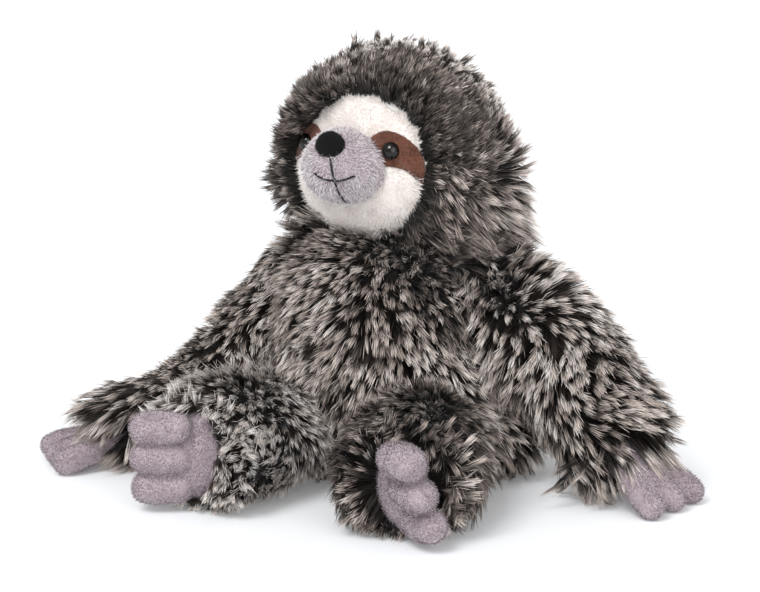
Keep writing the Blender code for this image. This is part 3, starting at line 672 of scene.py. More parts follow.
def strands(name, roots, normals, comb, lean, lean_end, length, tone, width, body, look, slot, *,
            count, radius, gather, stray, steps, width_shares, lowest):
    """Grow tufts of tapering fibres as one mesh, with the dye's place along each in its own map."""
    path = tuft_paths(normals, comb, lean, lean_end, length)
    owner = np.repeat(np.arange(len(roots)), count)
    total = len(owner)
    out, onward = normals[owner], comb[owner]
    side = np.cross(out, onward)
    reach = radius * np.sqrt(rng.random(total))
    angle = rng.uniform(0, math.tau, total)
    offset = onward * (reach * np.cos(angle))[:, None] + side * (reach * np.sin(angle))[:, None]
    loose = rng.random((total, 1)) < LOOSE_SHARE
    astray = rng.normal(size=(total, 3)) * stray * np.where(loose, LOOSE_STRAY, 1.0)
    share = rng.uniform(0.84, 1.04, total)
    twist = rng.uniform(-0.9, 0.9, total)

    places = []
    for step in steps:
        at = step * share * PATH_STEPS
        low = np.minimum(at.astype(int), PATH_STEPS - 1)
        over = np.clip(at - low, 0, 1.1)[:, None]
        along = path[low, owner] * (1 - over) + path[low + 1, owner] * over
        drawn = offset * (1 - gather * min(1.0, step * 1.25))
        places.append(roots[owner] + drawn + along + astray * step**1.5)
    places = np.array(places)
    places[..., 2] = np.maximum(places[..., 2], lowest + FLOOR_CRUSH * rng.random(total))

    # Two corners a row, and one at the tip
    rows = []
    pairs = len(steps) - 1
    for index in range(pairs):
        ahead = unit(places[index + 1] - places[max(index - 1, 0)])
        broad = unit(np.cross(ahead, out))
        deep = np.cross(broad, ahead)
        edge = broad * np.cos(twist)[:, None] + deep * np.sin(twist)[:, None]
        half = edge * (width * width_shares[index] / 2)
        rows.append(np.stack((places[index] - half, places[index] + half), 1))
    corners = np.concatenate(rows + [places[-1][:, None]], 1)
    faces = []
    for left in range(0, 2 * pairs - 2, 2):
        faces += [(left, left + 1, left + 3), (left, left + 3, left + 2)]
    faces.append((2 * pairs - 2, 2 * pairs - 1, 2 * pairs))
    per = corners.shape[1]
    triangles = (np.array(faces)[None] + (np.arange(total) * per)[:, None, None]).reshape(-1, 3)

    # The tone's column across the map, and the way from root to tip up it
    column = np.round(tone[owner] * (TONES - 1) + rng.normal(0, TONE_SCATTER, total))
    column = np.clip(column, 0, TONES - 1)
    sides = np.array([-1, 1] * pairs + [0])
    levels = np.array([step for step in steps[:-1] for _ in range(2)] + [steps[-1]])
    u = (column[:, None] + 0.5 + 0.35 * sides[None]) / TONES
    v = np.clip(levels[None] * np.ones((total, 1)), 0.004, 0.996)
    uv = np.stack((u, v), 2).reshape(-1, 2)
    return dress(strand_mesh(name, corners, triangles, uv), body, look)


def strand_mesh(name, corners, triangles, uv):
    """Make an object of strands."""
    mesh = bpy.data.meshes.new(name)
    mesh.vertices.add(corners.shape[0] * corners.shape[1])
    mesh.vertices.foreach_set("co", corners.reshape(-1).astype(np.float32))
    mesh.loops.add(len(triangles) * 3)
    mesh.loops.foreach_set("vertex_index", triangles.reshape(-1).astype(np.int32))
    mesh.polygons.add(len(triangles))
    mesh.polygons.foreach_set("loop_start", np.arange(0, len(triangles) * 3, 3, dtype=np.int32))
    layer = mesh.uv_layers.new(name="OFBake")
    layer.data.foreach_set("uv", uv[triangles.reshape(-1)].reshape(-1).astype(np.float32))
    mesh.update(calc_edges=True)
    mesh.shade_smooth()
    obj = bpy.data.objects.new(name, mesh)
    bpy.context.scene.collection.objects.link(obj)
    return obj


def shag(name, form, body, wanted, length, lean, keep, tone, restless=0.8,
         spacing=TUFT_SPACING, stretch=None, ease=0.0):
    """Long fur over a form, combed the wanted way with swirls in it."""
    roots, normals = planted(form, spacing, keep)
    count = len(roots)
    turn = restless * swirl(roots, 30 * MM, len(name)) + rng.normal(0, 0.25, count)
    comb = combed(normals, told(wanted, roots, normals), turn)
    patchy = swirl(roots, 22 * MM, len(name) + 3)
    eased = told(ease, roots, normals)
    first = lean[0] - 0.7 * eased + 0.22 * patchy + rng.normal(0, 0.12, count)
    last = lean[1] - eased + 0.30 * patchy + rng.normal(0, 0.15, count)
    size = length * rng.uniform(0.82, 1.12, count)
    if stretch is not None:
        size *= stretch(roots, normals)
    level = np.clip(told(tone, roots, normals) + 0.14 * swirl(roots, 14 * MM, len(name) + 5)
                    + 0.12 * swirl(roots, 45 * MM, len(name) + 7)
                    + rng.normal(0, 0.17, count), 0, 1)
    return strands(name, roots, normals, comb, np.clip(first, 0.05, 1.4), np.clip(last, 0.1, 1.75),
                   size, level, STRAND_WIDTH, body, long_fur, "fur", **LONG_TUFT)


def short_pile(name, form, body, look, slot, wanted, spacing=0.68 * MM, length=2.0 * MM,
               width=0.42 * MM, lean=0.7, keep=None, tone=0.5, restless=0.6):
    """Velboa pile: short single fibres close together."""
    roots, normals = planted(form, spacing, keep)
    count = len(roots)
    turn = restless * swirl(roots, 9 * MM, len(name)) + rng.normal(0, 0.45, count)
    comb = combed(normals, told(wanted, roots, normals), turn)
    bend = np.clip(lean + rng.normal(0, 0.25, count), 0.1, 1.3)
    size = length * rng.uniform(0.7, 1.2, count)
    level = np.clip(tone + 0.25 * swirl(roots, 5 * MM, len(name) + 1)
                    + rng.normal(0, 0.25, count), 0, 1)
    return strands(name, roots, normals, comb, bend, bend + 0.25, size, level, width,
                   body, look, slot, **SHORT_FIBRE)


# The toy

def build_torso():
    """The body: pear-shaped over full hips, and sat flat."""
    sides = 56
    turns = np.arange(sides) * math.tau / sides
    around = np.stack((np.cos(turns), np.sin(turns), np.zeros(sides)), 1)
    rings = []
    for level in np.concatenate(([0.0, 0.012], np.linspace(0.03, 0.985, 34))):
        girth = float(smooth_values(TORSO_HEIGHT_SHARES, TORSO_GIRTH_SHARES, level))
        radius = TORSO_RADIUS * girth - SKIN_DEPTH * min(1.0, level / 0.1)
        hips = math.exp(-((TORSO_HEIGHT * level - HIP_HEIGHT) / HIP_HEIGHT)**2) * HIP_FULLNESS
        wide = radius + hips * np.abs(np.cos(turns))[:, None]**3
        rings.append(np.array((0, TORSO_SET_BACK, TORSO_HEIGHT * level)) + around * wide)
    form = facing_out(*loft(rings, (0, TORSO_SET_BACK, 0), (0, TORSO_SET_BACK, TORSO_HEIGHT)))
    sewn("torso_backing", form, "torso", fur_backing, ("torso_skin",))

    def wanted(points, normals):
        out = points * (1, 1, 0) - (0, TORSO_SET_BACK, 0)
        high = rise(points[:, 2:] / TORSO_HEIGHT, 0.6, 0.3)
        ahead = high * fall(out[:, 1:2] / TORSO_RADIUS, 0.6, 1)
        return -UP + 0.25 * unit(out) - np.array((0, 1.0, 0)) * ahead

    def off_seat(points, normals):
        return ~((normals[:, 2] < -0.7) & (points[:, 2] < 3 * MM))

    def on_front(points, normals):
        return (points[:, 1] < TORSO_SET_BACK) & off_seat(points, normals)

    def on_back(points, normals):
        return (points[:, 1] >= TORSO_SET_BACK) & off_seat(points, normals)

    def stretch(points, normals):
        low = np.clip(0.45 + points[:, 2] / (30 * MM), 0.45, 1.0)
        low *= 1 - 0.3 * rise(normals[:, 1], 0, 1)
        high = rise(points[:, 2] / TORSO_HEIGHT, 0.7, 0.2)
        flank = rise(normals[:, 0], 0.5, 0.3) * fall(points[:, 2] / (70 * MM), 1.4, 1)
        return low * (1 + np.where(normals[:, 1] < -0.2, -0.2, 0.7) * high + 0.35 * flank)

    def ease(points, normals):
        return 0.45 * rise(points[:, 2] / TORSO_HEIGHT, 0.75, 0.15)

    for word, keep in (("front", on_front), ("back", on_back)):
        shag(f"torso_fur_{word}", form, "torso", wanted, TORSO_FUR, (0.7, 1.2), keep, tone=0.38,
             restless=0.55, stretch=stretch, ease=ease)


def panel_share(side, lift):
    """0 in the middle of the face panel, 1 on its outline."""
    height = np.where(lift + FACE_DROP > 0, PANEL_HALF_HEIGHT + PANEL_BROW, PANEL_HALF_HEIGHT)
    skew = PANEL_SIDE + PANEL_SKEW * np.clip((lift + FACE_DROP) / PANEL_HALF_HEIGHT, -1, 1)
    return np.sqrt(((side - skew) / PANEL_HALF_WIDTH)**2 + ((lift + FACE_DROP) / height)**2)


def face_depth(side, lift):
    """How far forward the face lies: a shallow dome that fills out to the hood at its rim."""
    across = side / FACE_HALVES[0]
    above = (lift + FACE_DROP) / FACE_HALVES[2]
    left = 1 - across**2 - above**2
    dome = FACE_FORWARD + FACE_HALVES[1] * np.sqrt((left + np.sqrt(left**2 + RIM_SOFTNESS)) / 2)
    hood = (HEAD_HALVES[1] - SKIN_DEPTH) * np.sqrt(np.clip(
        1 - (side / HEAD_HALVES[0])**2 - (lift / HEAD_HALVES[2])**2, 0, 1))
    fullness = RIM_FULLNESS - FAR_RIM_LOSS * fall(side, 0, FAR_RIM_SPAN)
    near_rim = fullness * rise(panel_share(side, lift), 0.35, 0.65)**1.5
    return dome + near_rim * np.clip(hood - dome, 0, None)


def hood_form(halves, rows, sides):
    """The hood: round above, and fuller low at the back and sides, where the mane falls."""
    width, depth, height = halves
    turns = np.arange(sides) * math.tau / sides
    rings = []
    for row in range(1, rows):
        tilt = math.pi * row / rows
        plain = math.sin(tilt)
        full = plain
        if tilt < math.pi / 2:
            full = (1 - math.cos(tilt)**MANE_ROUNDNESS)**(1 / MANE_ROUNDNESS)
        rings.append(on_head(width * full * np.cos(turns),
                             depth * (full + plain) / 2 * np.sin(turns) - depth * (full - plain) / 2,
                             np.full(sides, -height * math.cos(tilt))))
    return facing_out(*loft(rings, HEAD_MIDDLE - UP * height, HEAD_MIDDLE + UP * height))


def build_head():
    """The furry hood, hollowed for the face, and the neck under it."""
    halves = tuple(half - SKIN_DEPTH for half in HEAD_HALVES)
    form = hood_form(halves, 40, 64)
    side, forward, lift = in_head(form.corners)
    inside = (forward > 0) & (panel_share(side, lift) < 1.0)
    hollow = face_depth(side, lift) - PANEL_BED
    forward = np.where(inside, np.minimum(forward, hollow), forward)
    form.corners = on_head(side, forward, lift)
    form.measure()
    sewn("head_backing", form, "head", fur_backing, ("head_hood",))

    neck_at = np.array(joints["neck_nod"]["pos_m"])
    neck = ellipsoid(neck_at, (NECK_RADIUS - NECK_INSET,) * 3, HEAD_AXES, 20, 40)
    sewn("neck_backing", neck, "head", fur_backing)

    def wanted(points, normals):
        side, forward, lift = in_head(points)
        radial = unit(HEAD_LEFT * side[:, None] + UP * (lift + FACE_DROP)[:, None])
        front = rise(forward, 0, HEAD_HALVES[1])[:, None]
        low = fall(lift, 0, HEAD_HALVES[2])[:, None]
        hang = (0.35 + 1.2 * low) * (1 - rise(2 * front, 0, 1))
        return -HEAD_AHEAD * (1 - 0.5 * front) + radial * front * 1.6 - UP * hang

    def off_face(points, normals):
        side, forward, lift = in_head(points)
        return ~((forward > 0) & (panel_share(side, lift) < 1.04))

    def on_left(points, normals):
        return off_face(points, normals) & (in_head(points)[0] >= 0)

    def on_right(points, normals):
        return off_face(points, normals) & (in_head(points)[0] < 0)

    def rim(points):
        side, forward, lift = in_head(points)
        return fall(panel_share(side, lift), 1.5, 0.4) * (forward > 0)

    def tone(points, normals):
        side, forward, lift = in_head(points)
        edge = fall(panel_share(side, lift), 1.75, 0.5) * (forward > 0)
        # Painted highlight: the tips grow paler towards the top of the head, standing in for the
        # light that falls there. The tone also drops near the face's outline.
        return 0.56 - 0.36 * edge + 0.34 * rise(lift, 0, 45 * MM)

    def stretch(points, normals):
        side, forward, lift = in_head(points)
        low = fall(lift, 6 * MM, 35 * MM) * fall(forward / (45 * MM), 1.2, 1)
        high = rise(lift, 0, 40 * MM)
        behind = rise(-forward, 28 * MM, 25 * MM)
        far_side = fall(side, 0, 30 * MM) * rise(forward / (20 * MM), -1, 1)
        spike = (rng.random(len(points)) < 0.2) * 0.42 * high
        full = (1.05 + 0.25 * far_side) * low * (1 - behind)
        full -= 0.66 * high + 0.5 * behind
        return 1 + full - 0.25 * rim(points) + spike

    def ease(points, normals):
        side, forward, lift = in_head(points)
        low = fall(lift, 10 * MM, 40 * MM)
        return 0.75 * low * (1 - rim(points)) - 0.1 * rim(points)

    def on_rim(points, normals):
        side, forward, lift = in_head(points)
        near = panel_share(side, lift)
        return (forward > 0) & (near > 0.955) & (near < 1.32)

    def outward(points, normals):
        side, forward, lift = in_head(points)
        return HEAD_LEFT * side[:, None] + UP * (lift + FACE_DROP)[:, None]

    def under_head(points, normals):
        side, forward, lift = in_head(points)
        outside = (side / halves[0])**2 + (forward / halves[1])**2 + (lift / halves[2])**2 > 1
        return outside & (normals[:, 2] > -0.75)

    shag("face_rim_fur", form, "head", outward, FACE_RIM_FUR, (1.0, 1.2), on_rim, tone=0.08,
         restless=0.25, spacing=FACE_RIM_SPACING)
    for word, keep in (("left", on_left), ("right", on_right)):
        shag(f"head_fur_{word}", form, "head", wanted, HEAD_FUR, (0.82, 1.3), keep, tone=tone,
             stretch=stretch, ease=ease)
    shag("neck_fur", neck, "head", -UP, NECK_FUR, (0.5, 1.0), under_head, tone=0.4)


def in_patch(side, lift):
    """Whether places on the face lie inside an eye patch."""
    outline = np.array(PATCH_OUTLINE) * MM
    side = np.abs(side)
    inside = np.zeros(len(side), bool)
    for (x0, y0), (x1, y1) in zip(outline, np.roll(outline, -1, 0)):
        crosses = (y0 > lift) != (y1 > lift)
        inside ^= crosses & (side < x0 + (lift - y0) / (y1 - y0 + 1e-12) * (x1 - x0))
    return inside


def build_face():
    """The cream panel, sewn flat along a seam under the muzzle, with its short pile."""
    rows, sides = 30, 72
    turns = np.arange(sides) * math.tau / sides

    def surface(share, sink):
        skew = PANEL_SIDE + PANEL_SKEW * share * np.sin(turns)
        side = PANEL_HALF_WIDTH * share * np.cos(turns) + skew
        height = np.where(np.sin(turns) > 0, PANEL_HALF_HEIGHT + PANEL_BROW, PANEL_HALF_HEIGHT)
        lift = height * share * np.sin(turns) - FACE_DROP
        forward = face_depth(side, lift) - sink
        cheek = hump((np.abs(side) - CHEEK_SIDE, CHEEK_SPREAD), (lift + CHEEK_DROP, CHEEK_SPREAD))
        brow = hump((side, BROW_WIDTH), (lift - BROW_LIFT, BROW_SPREAD))
        seam = hump((side, CHIN_SEAM_WIDTH)) * fall(lift, 0, 20 * MM)
        forward = forward + CHEEK_RISE * cheek + BROW_RISE * brow - CHIN_SEAM_DEPTH * seam
        forward = forward - PANEL_TURN_IN * rise(share, 0.9, 0.1)**2
        return on_head(side, forward, lift)

    rings = [surface(share, 0.0) for share in np.linspace(0.02, 1.0, rows)]
    rings += [surface(share, PANEL_CLOTH) for share in np.linspace(0.98, 0.1, 6)]
    middle = float(face_depth(0.0, -FACE_DROP))
    form = facing_out(*loft(rings, on_head(0.0, middle, -FACE_DROP),
                            on_head(0.0, middle - PANEL_CLOTH, -FACE_DROP)))
    sewn("face", form, "head", cream_velboa, ("face_panel",))

    def away_from_muzzle(points, normals):
        return points - on_head(0.0, 50 * MM, -MUZZLE_DROP)

    def front_only(points, normals):
        side, forward, lift = in_head(points)
        front = (normals @ HEAD_AHEAD > -0.1) & (forward > 10 * MM)
        return front & (forward > face_depth(side, lift) - 5.5 * MM) & ~in_patch(side, lift)

    def on_edge(points, normals):
        side, forward, lift = in_head(points)
        return front_only(points, normals) & (panel_share(side, lift) > 0.9)

    short_pile("face_pile", form, "head", cream_pile, "cream_velboa", away_from_muzzle,
               keep=front_only)
    short_pile("face_edge_pile", form, "head", cream_pile, "cream_velboa", away_from_muzzle,
               spacing=1.0 * MM, length=4 * MM, width=0.55 * MM, lean=0.75, keep=on_edge)


def build_muzzle():
    """The muzzle with its two soft lobes, the nose, and the sewn mouth."""
    centre = on_head(MUZZLE_SIDE, MUZZLE_FORWARD, -MUZZLE_DROP)
    form = ellipsoid(centre, MUZZLE_HALVES, (HEAD_LEFT, UP, HEAD_AHEAD), 40, 64)
    side, forward, lift = in_head(form.corners)
    groove = hump((side - MOUTH_SIDE, GROOVE_WIDTH)) * (lift < NOSE_LIFT)
    toward = rise(forward, MUZZLE_FORWARD, MUZZLE_HALVES[1])
    bridge = hump((side, BRIDGE_WIDTH)) * rise(lift, 4 * MM, 12 * MM)
    lobe = hump((np.abs(side - MOUTH_SIDE) - LOBE_SIDE, LOBE_WIDTH)) \
        * hump((lift + LOBE_DROP, LOBE_HEIGHT))
    form.corners += form.normals * (LOBE_RISE * lobe * toward)[:, None]
    form.corners -= form.normals * (GROOVE_DEPTH * groove * toward)[:, None]
    form.corners += form.normals * (BRIDGE_RISE * bridge)[:, None]
    form.measure()
    sewn("muzzle_skin", form, "head", mauve_velboa, ("muzzle",))
    nose_at = on_head(NOSE_SIDE, NOSE_FORWARD, NOSE_LIFT)

    def from_nose(points, normals):
        return points - nose_at

    def shown(points, normals):
        side, forward, lift = in_head(points)
        return forward > face_depth(side, lift) - 0.5 * MM

    short_pile("muzzle_pile", form, "head", mauve_pile, "velboa", from_nose, keep=shown,
               spacing=0.85 * MM, length=3 * MM, width=0.6 * MM, lean=0.8, tone=1.0, restless=0.3)

    nose = ellipsoid(nose_at, NOSE_HALVES, HEAD_AXES, 24, 36)
    side, forward, lift = in_head(nose.corners)
    narrow = 1 - 0.22 * fall(lift, NOSE_LIFT, NOSE_HALVES[2])
    nose.corners = on_head(side * narrow, forward, lift)
    nose.measure()
    sewn("nose_skin", nose, "head", black_velour, ("nose",))
    short_pile("nose_pile", nose, "head", black_pile, "black_velour", from_nose,
               length=0.9 * MM, width=0.25 * MM, spacing=0.5 * MM)

    tree = form.tree()

    def stitched(name, outline, stands_for=()):
        points = []
        for side, lift in outline:
            start = on_head(side, 120 * MM, lift)
            spot, normal, _, _ = tree.ray_cast(Vector(start), Vector(-HEAD_AHEAD))
            points.append(np.array(spot) + np.array(normal) * THREAD_PROUD)
        rings = []
        for index, point in enumerate(points):
            ahead = unit(points[min(index + 1, len(points) - 1)] - points[max(index - 1, 0)])
            across = unit(np.cross(ahead, HEAD_AHEAD))
            over = np.cross(ahead, across)
            size = THREAD_RADIUS * (1 + 0.12 * math.sin(index * 1.9))
            rings.append([point + size * (across * math.cos(turn) + over * math.sin(turn))
                          for turn in np.arange(10) * math.tau / 10])
        thread = piece_from(name, *loft(rings, points[0], points[-1]))
        dress(thread, "head", thread_cotton, stands_for)

    smile = [(MOUTH_SIDE + SMILE_HALF_WIDTH * share, -SMILE_DROP + SMILE_RISE * share * share)
             for share in np.linspace(-1, 1, 41)]
    line = [(MOUTH_SIDE - LIP_LINE_LEAN * max(0.0, 1 - drop / SMILE_DROP), -drop)
            for drop in np.linspace(LIP_LINE_TOP, LIP_LINE_BOTTOM, 33)]
    stitched("smile_thread", smile, ("mouth_stitch",))
    stitched("lip_thread", line)


def build_eyes():
    """Brown patches and the safety eyes that go through them."""
    outline = np.array(PATCH_OUTLINE) * MM
    middle = outline.mean(0)
    shares = ((1.0, 1.0 * MM), (1.0, -0.5 * MM), (0.97, -PATCH_CLOTH)) \
        + tuple((share, -PATCH_CROWN) for share in (0.8, 0.6, 0.4, 0.2))

    def raised(points, normals):
        return normals @ HEAD_AHEAD > 0.0

    for sign, word in ((1, "left"), (-1, "right")):
        rings = []
        for share, sink in shares:
            spots = middle + (outline - middle) * share
            forward = face_depth(sign * spots[:, 0], spots[:, 1]) - sink
            rings.append(on_head(sign * spots[:, 0], forward, spots[:, 1]))
        low = float(face_depth(sign * middle[0], middle[1]))
        start = on_head(sign * middle[0], low - 1 * MM, middle[1])
        end = on_head(sign * middle[0], low + PATCH_CLOTH + 0.2 * MM, middle[1])
        form = facing_out(*loft(rings, start, end))
        sewn(f"{word}_patch", form, "head", rust_velboa, (f"{word}_eye_patch",))
        short_pile(f"{word}_patch_pile", form, "head", rust_pile, "rust_velboa",
                   HEAD_LEFT * sign - UP * 0.4, keep=raised, length=1.1 * MM, lean=0.9)

        depth = float(face_depth(sign * EYE_SIDE, EYE_LIFT))
        spot = on_head(sign * EYE_SIDE, depth, EYE_LIFT)
        out = unit(HEAD_LEFT * (sign * EYE_SIDE / FACE_HALVES[0]**2)
                   + HEAD_AHEAD * ((depth - FACE_FORWARD) / FACE_HALVES[1]**2)
                   + UP * ((EYE_LIFT + FACE_DROP) / FACE_HALVES[2]**2))
        across = unit(np.cross(UP, out))
        turns = np.arange(48) * math.tau / 48
        around = np.cos(turns)[:, None] * across + np.sin(turns)[:, None] * np.cross(out, across)
        rings = [spot + out * -EYE_SUNK + around * (EYE_RADIUS * 0.8),
                 spot + out * (EYE_STAND - 0.6 * MM) + around * (EYE_RADIUS * 0.97)]
        for step in range(12):
            turn = math.pi / 2 * step / 12
            rings.append(spot + out * (EYE_STAND + EYE_DOME * math.sin(turn))
                         + around * (EYE_RADIUS * math.cos(turn)))
        form = facing_out(*loft(rings, spot - out * EYE_SUNK, spot + out * (EYE_STAND + EYE_DOME)))
        sewn(f"{word}_eye_dome", form, "head", acrylic, (f"{word}_eye",))


def build_arm(word, bow, fuller_above, fuller_cuff):
    """The furry arm and its hand."""
    shoulder = np.array(joints[f"{word}_shoulder_raise"]["pos_m"])
    wrist = np.array(joints[f"{word}_wrist_bend"]["pos_m"])
    length = np.linalg.norm(wrist - shoulder)
    axis = (wrist - shoulder) / length
    level = unit(axis * (1, 1, 0))
    across = np.cross(UP, level)
    form = swelling(shoulder, axis, -across, length, ARM_RADIUS, ARM_LENGTH_SHARES,
                    ARM_RADIUS_SHARES, bow=bow, inset=SKIN_DEPTH, lowest=ARM_LOWEST)
    cut_off(form, shoulder, axis, length + PALM_START)
    sewn(f"{word}_arm_backing", form, f"{word}_arm", fur_backing,
         (f"{word}_arm_sleeve",))

    def cuff_share(points):
        return rise((points - shoulder) @ axis / length, 0.75, 0.2)

    def end_share(normals):
        return rise(normals @ axis, 0, 1)

    def wanted(points, normals):
        end = end_share(normals)[:, None]
        hang = 0.55 + fuller_cuff * cuff_share(points)[:, None] * rise(normals[:, 2:], 0, 1)
        outward = unit(off_axis(points, shoulder, axis))
        return axis * 0.8 - UP * hang * (1 - end) + outward * end * 2

    def stretch(points, normals):
        under = fall(normals[:, 2], 0, 1) * rise(points[:, 2], 0, 40 * MM)
        above = rise(normals[:, 2], 0, 1)
        cuff = cuff_share(points)
        return 1 + 0.9 * under + fuller_above * above * (1 - cuff) \
            + fuller_cuff * cuff * (1 - 0.7 * end_share(normals))

    def keep(points, normals):
        wide = np.linalg.norm(off_axis(points, shoulder, axis), axis=1)
        return ((points - shoulder) @ axis > -14 * MM) \
            & ((normals @ axis < 0.5) | (wide > WRIST_RADIUS))

    def ease(points, normals):
        end = end_share(normals)
        return 0.85 * end - 0.35 * cuff_share(points) * (1 - end)

    shag(f"{word}_arm_fur", form, f"{word}_arm", wanted, ARM_FUR, (0.72, 1.25), keep, tone=0.5,
         stretch=stretch, ease=ease)

    droop = math.asin((wrist[2] - FINGER_RADIUS) / (FINGER_START + FINGER_LENGTH - FINGER_RADIUS))
    along = level * math.cos(droop) - UP * math.sin(droop)
    above = np.cross(along, across)
    middle = wrist + along * (PALM_START + PALM_LENGTH / 2)
    parts = [ellipsoid(middle, (PALM_HALF_WIDTH, PALM_HALF_THICKNESS, PALM_LENGTH / 2),
                       (across, above, along), 30, 40),
             ellipsoid(wrist, (WRIST_RADIUS,) * 3, (across, above, along), 16, 24)]
    for index in range(FINGER_COUNT):
        offset = index - (FINGER_COUNT - 1) / 2
        turn = np.array(Matrix.Rotation(-offset * FINGER_SPREAD, 3, Vector(above)))
        heading = turn @ along
        root = wrist + along * FINGER_START - across * (offset * 2 * FINGER_RADIUS)
        parts.append(digit(root, heading, np.cross(above, heading), FINGER_LENGTH, FINGER_RADIUS))
    hand = merged(f"{word}_hand_skin", parts)
    settle(hand, HAND_LOWEST)
    names = [f"{word}_hand"] + [f"{word}_finger_{index + 1}" for index in range(FINGER_COUNT)]
    dress(hand, f"{word}_hand", mauve_velboa, names)
    short_pile(f"{word}_hand_pile", form_of(hand), f"{word}_hand", mauve_pile, "velboa", along,
               **HAND_AND_FOOT_PILE)


def build_leg(sign, word, turn, lean, tone):
    """The furry leg, and the foot in its cuff."""
    hip = np.array(joints[f"{word}_hip_lift"]["pos_m"])
    across = -np.array(joints[f"{word}_hip_lift"]["axis"])
    axis = np.cross(across, UP)
    form = swelling(hip, axis, -across, LEG_LENGTH, LEG_RADIUS, LEG_LENGTH_SHARES,
                    LEG_RADIUS_SHARES, inset=SKIN_DEPTH, lowest=LEG_LOWEST)
    cut_off(form, hip, axis, LEG_LENGTH + LEG_CUFF)
    sewn(f"{word}_leg_backing", form, f"{word}_leg", fur_backing,
         (f"{word}_leg_sleeve",))

    spin = np.array(Matrix.Rotation(-sign * turn, 3, "Z"))
    ahead = spin @ np.array((0, -1.0, 0))
    out = np.array((-ahead[1], ahead[0], 0)) * sign
    centre = hip + axis * LEG_LENGTH

    def end_share(normals):
        return rise(normals @ axis, 0, 1)

    def wanted(points, normals):
        end = end_share(normals)[:, None]
        outward = unit(off_axis(points, hip, axis))
        return axis * 0.75 - UP * 0.25 * (1 - end) + outward * end * 2

    def keep(points, normals):
        away = points - centre
        outline = (away @ out / SOLE_HALVES[0])**2 + (away[:, 2] / SOLE_HALVES[2])**2
        clear = outline + (away @ ahead / SOLE_HALVES[1])**2 > 0.95
        return ((points - hip) @ axis > -4 * MM) & ((normals @ axis < 0.5) | clear)

    def stretch(points, normals):
        near_floor = rise(points[:, 2], 0, 20 * MM) * 0.65 + 0.35
        upper = fall((points - hip) @ axis / LEG_LENGTH, 1, 1)
        outer = np.clip(normals[:, 0] * sign - 0.2, 0, 0.8) * upper
        sunk = np.clip((centre - points) @ ahead / SOLE_HALVES[1], 0, 1.2)
        return near_floor * (1 + 0.9 * outer + (0.2 * sunk - 0.2) * end_share(normals))

    def ease(points, normals):
        sunk = rise((centre - points) @ ahead, 0, SOLE_HALVES[1])
        return (0.6 - 1.1 * sunk) * end_share(normals)

    shag(f"{word}_leg_fur", form, f"{word}_leg", wanted, LEG_FUR, (0.85, 1.35), keep, tone=tone,
         stretch=stretch, ease=ease)

    parts = [ellipsoid(centre, SOLE_HALVES, (out, ahead, UP), 30, 40)]
    for index in range(TOE_COUNT):
        offset = (TOE_COUNT - 1) / 2 - index
        root = centre + ahead * (TOE_FORWARD + offset * lean) + out * TOE_OUT
        root = root + UP * (offset * TOE_PITCH)
        parts.append(digit(root, out, ahead, TOE_LENGTH, TOE_RADIUS))
    foot = merged(f"{word}_foot_skin", parts)
    names = [f"{word}_foot_sole"] + [f"{word}_toe_{index + 1}" for index in range(TOE_COUNT)]
    dress(foot, f"{word}_leg", mauve_velboa, names)
    short_pile(f"{word}_foot_pile", form_of(foot), f"{word}_leg", mauve_pile, "velboa", out,
               **HAND_AND_FOOT_PILE)


def finish_inside():
    """Give the hidden pieces their real finishes."""
    finishes = {"stuffing": filling_fibre, "pouch": pouch_cloth, "washer": washer_plastic}
    for name, node in frame["nodes"].items():
        for ending, look in finishes.items():
            if name.endswith(ending):
                finish(node, look)


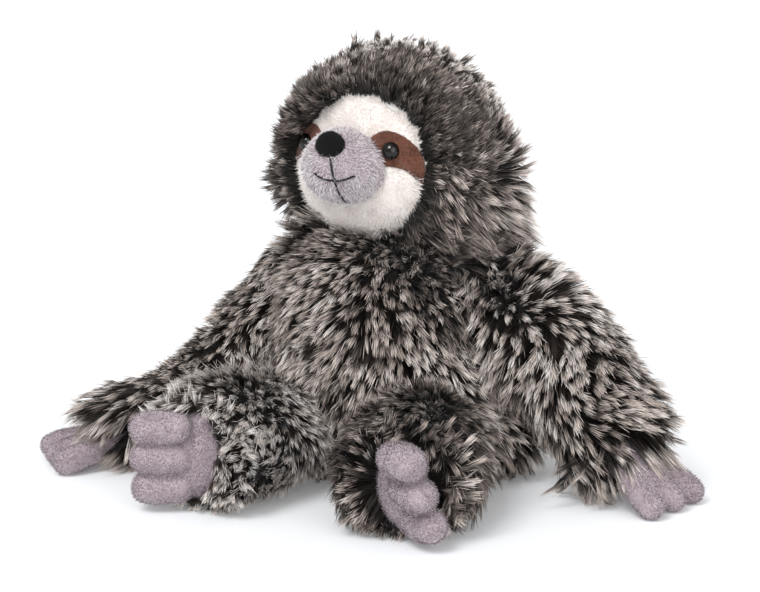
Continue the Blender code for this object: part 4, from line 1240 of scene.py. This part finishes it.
def build_studio():
    """A pale floor, soft light and the camera."""
    corners = [(-FLOOR_HALF, -FLOOR_HALF, 0), (FLOOR_HALF, -FLOOR_HALF, 0),
               (FLOOR_HALF, FLOOR_HALF, 0), (-FLOOR_HALF, FLOOR_HALF, 0)]
    floor = piece_from("studio_floor", corners, [(0, 1, 2, 3)])
    finish(floor, studio_board)

    world = bpy.data.worlds.new("studio")
    world.use_nodes = True
    background = world.node_tree.nodes["Background"]
    background.inputs["Color"].default_value = (1, 1, 1, 1)
    background.inputs["Strength"].default_value = SURROUND_POWER
    bpy.context.scene.world = world

    back = Vector((math.sin(CAMERA_AZIMUTH) * math.cos(CAMERA_ELEVATION),
                   -math.cos(CAMERA_AZIMUTH) * math.cos(CAMERA_ELEVATION),
                   math.sin(CAMERA_ELEVATION)))
    right = Vector((math.cos(CAMERA_AZIMUTH), math.sin(CAMERA_AZIMUTH), 0))
    for name, direction, softness, power in (
            ("key", back - right * KEY_ASIDE + Vector((0, 0, KEY_RISE)), KEY_SOFTNESS, KEY_POWER),
            ("fill", back + right * FILL_ASIDE + Vector((0, 0, FILL_RISE)), FILL_SOFTNESS,
             FILL_POWER)):
        lamp = bpy.data.lights.new(name, "SUN")
        lamp.angle = softness
        lamp.energy = power
        obj = bpy.data.objects.new(name, lamp)
        bpy.context.scene.collection.objects.link(obj)
        obj.location = CAMERA_AIM + direction.normalized()
        obj.rotation_euler = direction.to_track_quat("Z", "Y").to_euler()

    lens = bpy.data.cameras.new("camera")
    lens.sensor_width = SENSOR_WIDTH
    lens.lens = SENSOR_WIDTH * CAMERA_DISTANCE / (MM_PER_PIXEL * MM * FRAME_WIDTH)
    camera = bpy.data.objects.new("camera", lens)
    bpy.context.scene.collection.objects.link(camera)
    camera.location = CAMERA_AIM + back * CAMERA_DISTANCE
    camera.rotation_euler = back.to_track_quat("Z", "Y").to_euler()
    bpy.context.scene.camera = camera
    bpy.context.scene.view_settings.view_transform = "Standard"


build_studio()
build_torso()
build_head()
build_face()
build_muzzle()
build_eyes()
build_arm("left", LEFT_ARM_BOW, fuller_above=0.12, fuller_cuff=0.3)
build_arm("right", RIGHT_ARM_BOW, fuller_above=-0.6, fuller_cuff=0.6)
# Painted light: both legs wear the same fur, but the right one is tipped much paler than the left,
# standing in for how differently the light falls on them
build_leg(1, "left", LEFT_SOLE_TURN, LEFT_TOE_LEAN, tone=0.24)
build_leg(-1, "right", RIGHT_SOLE_TURN, RIGHT_TOE_LEAN, tone=0.85)
finish_inside()
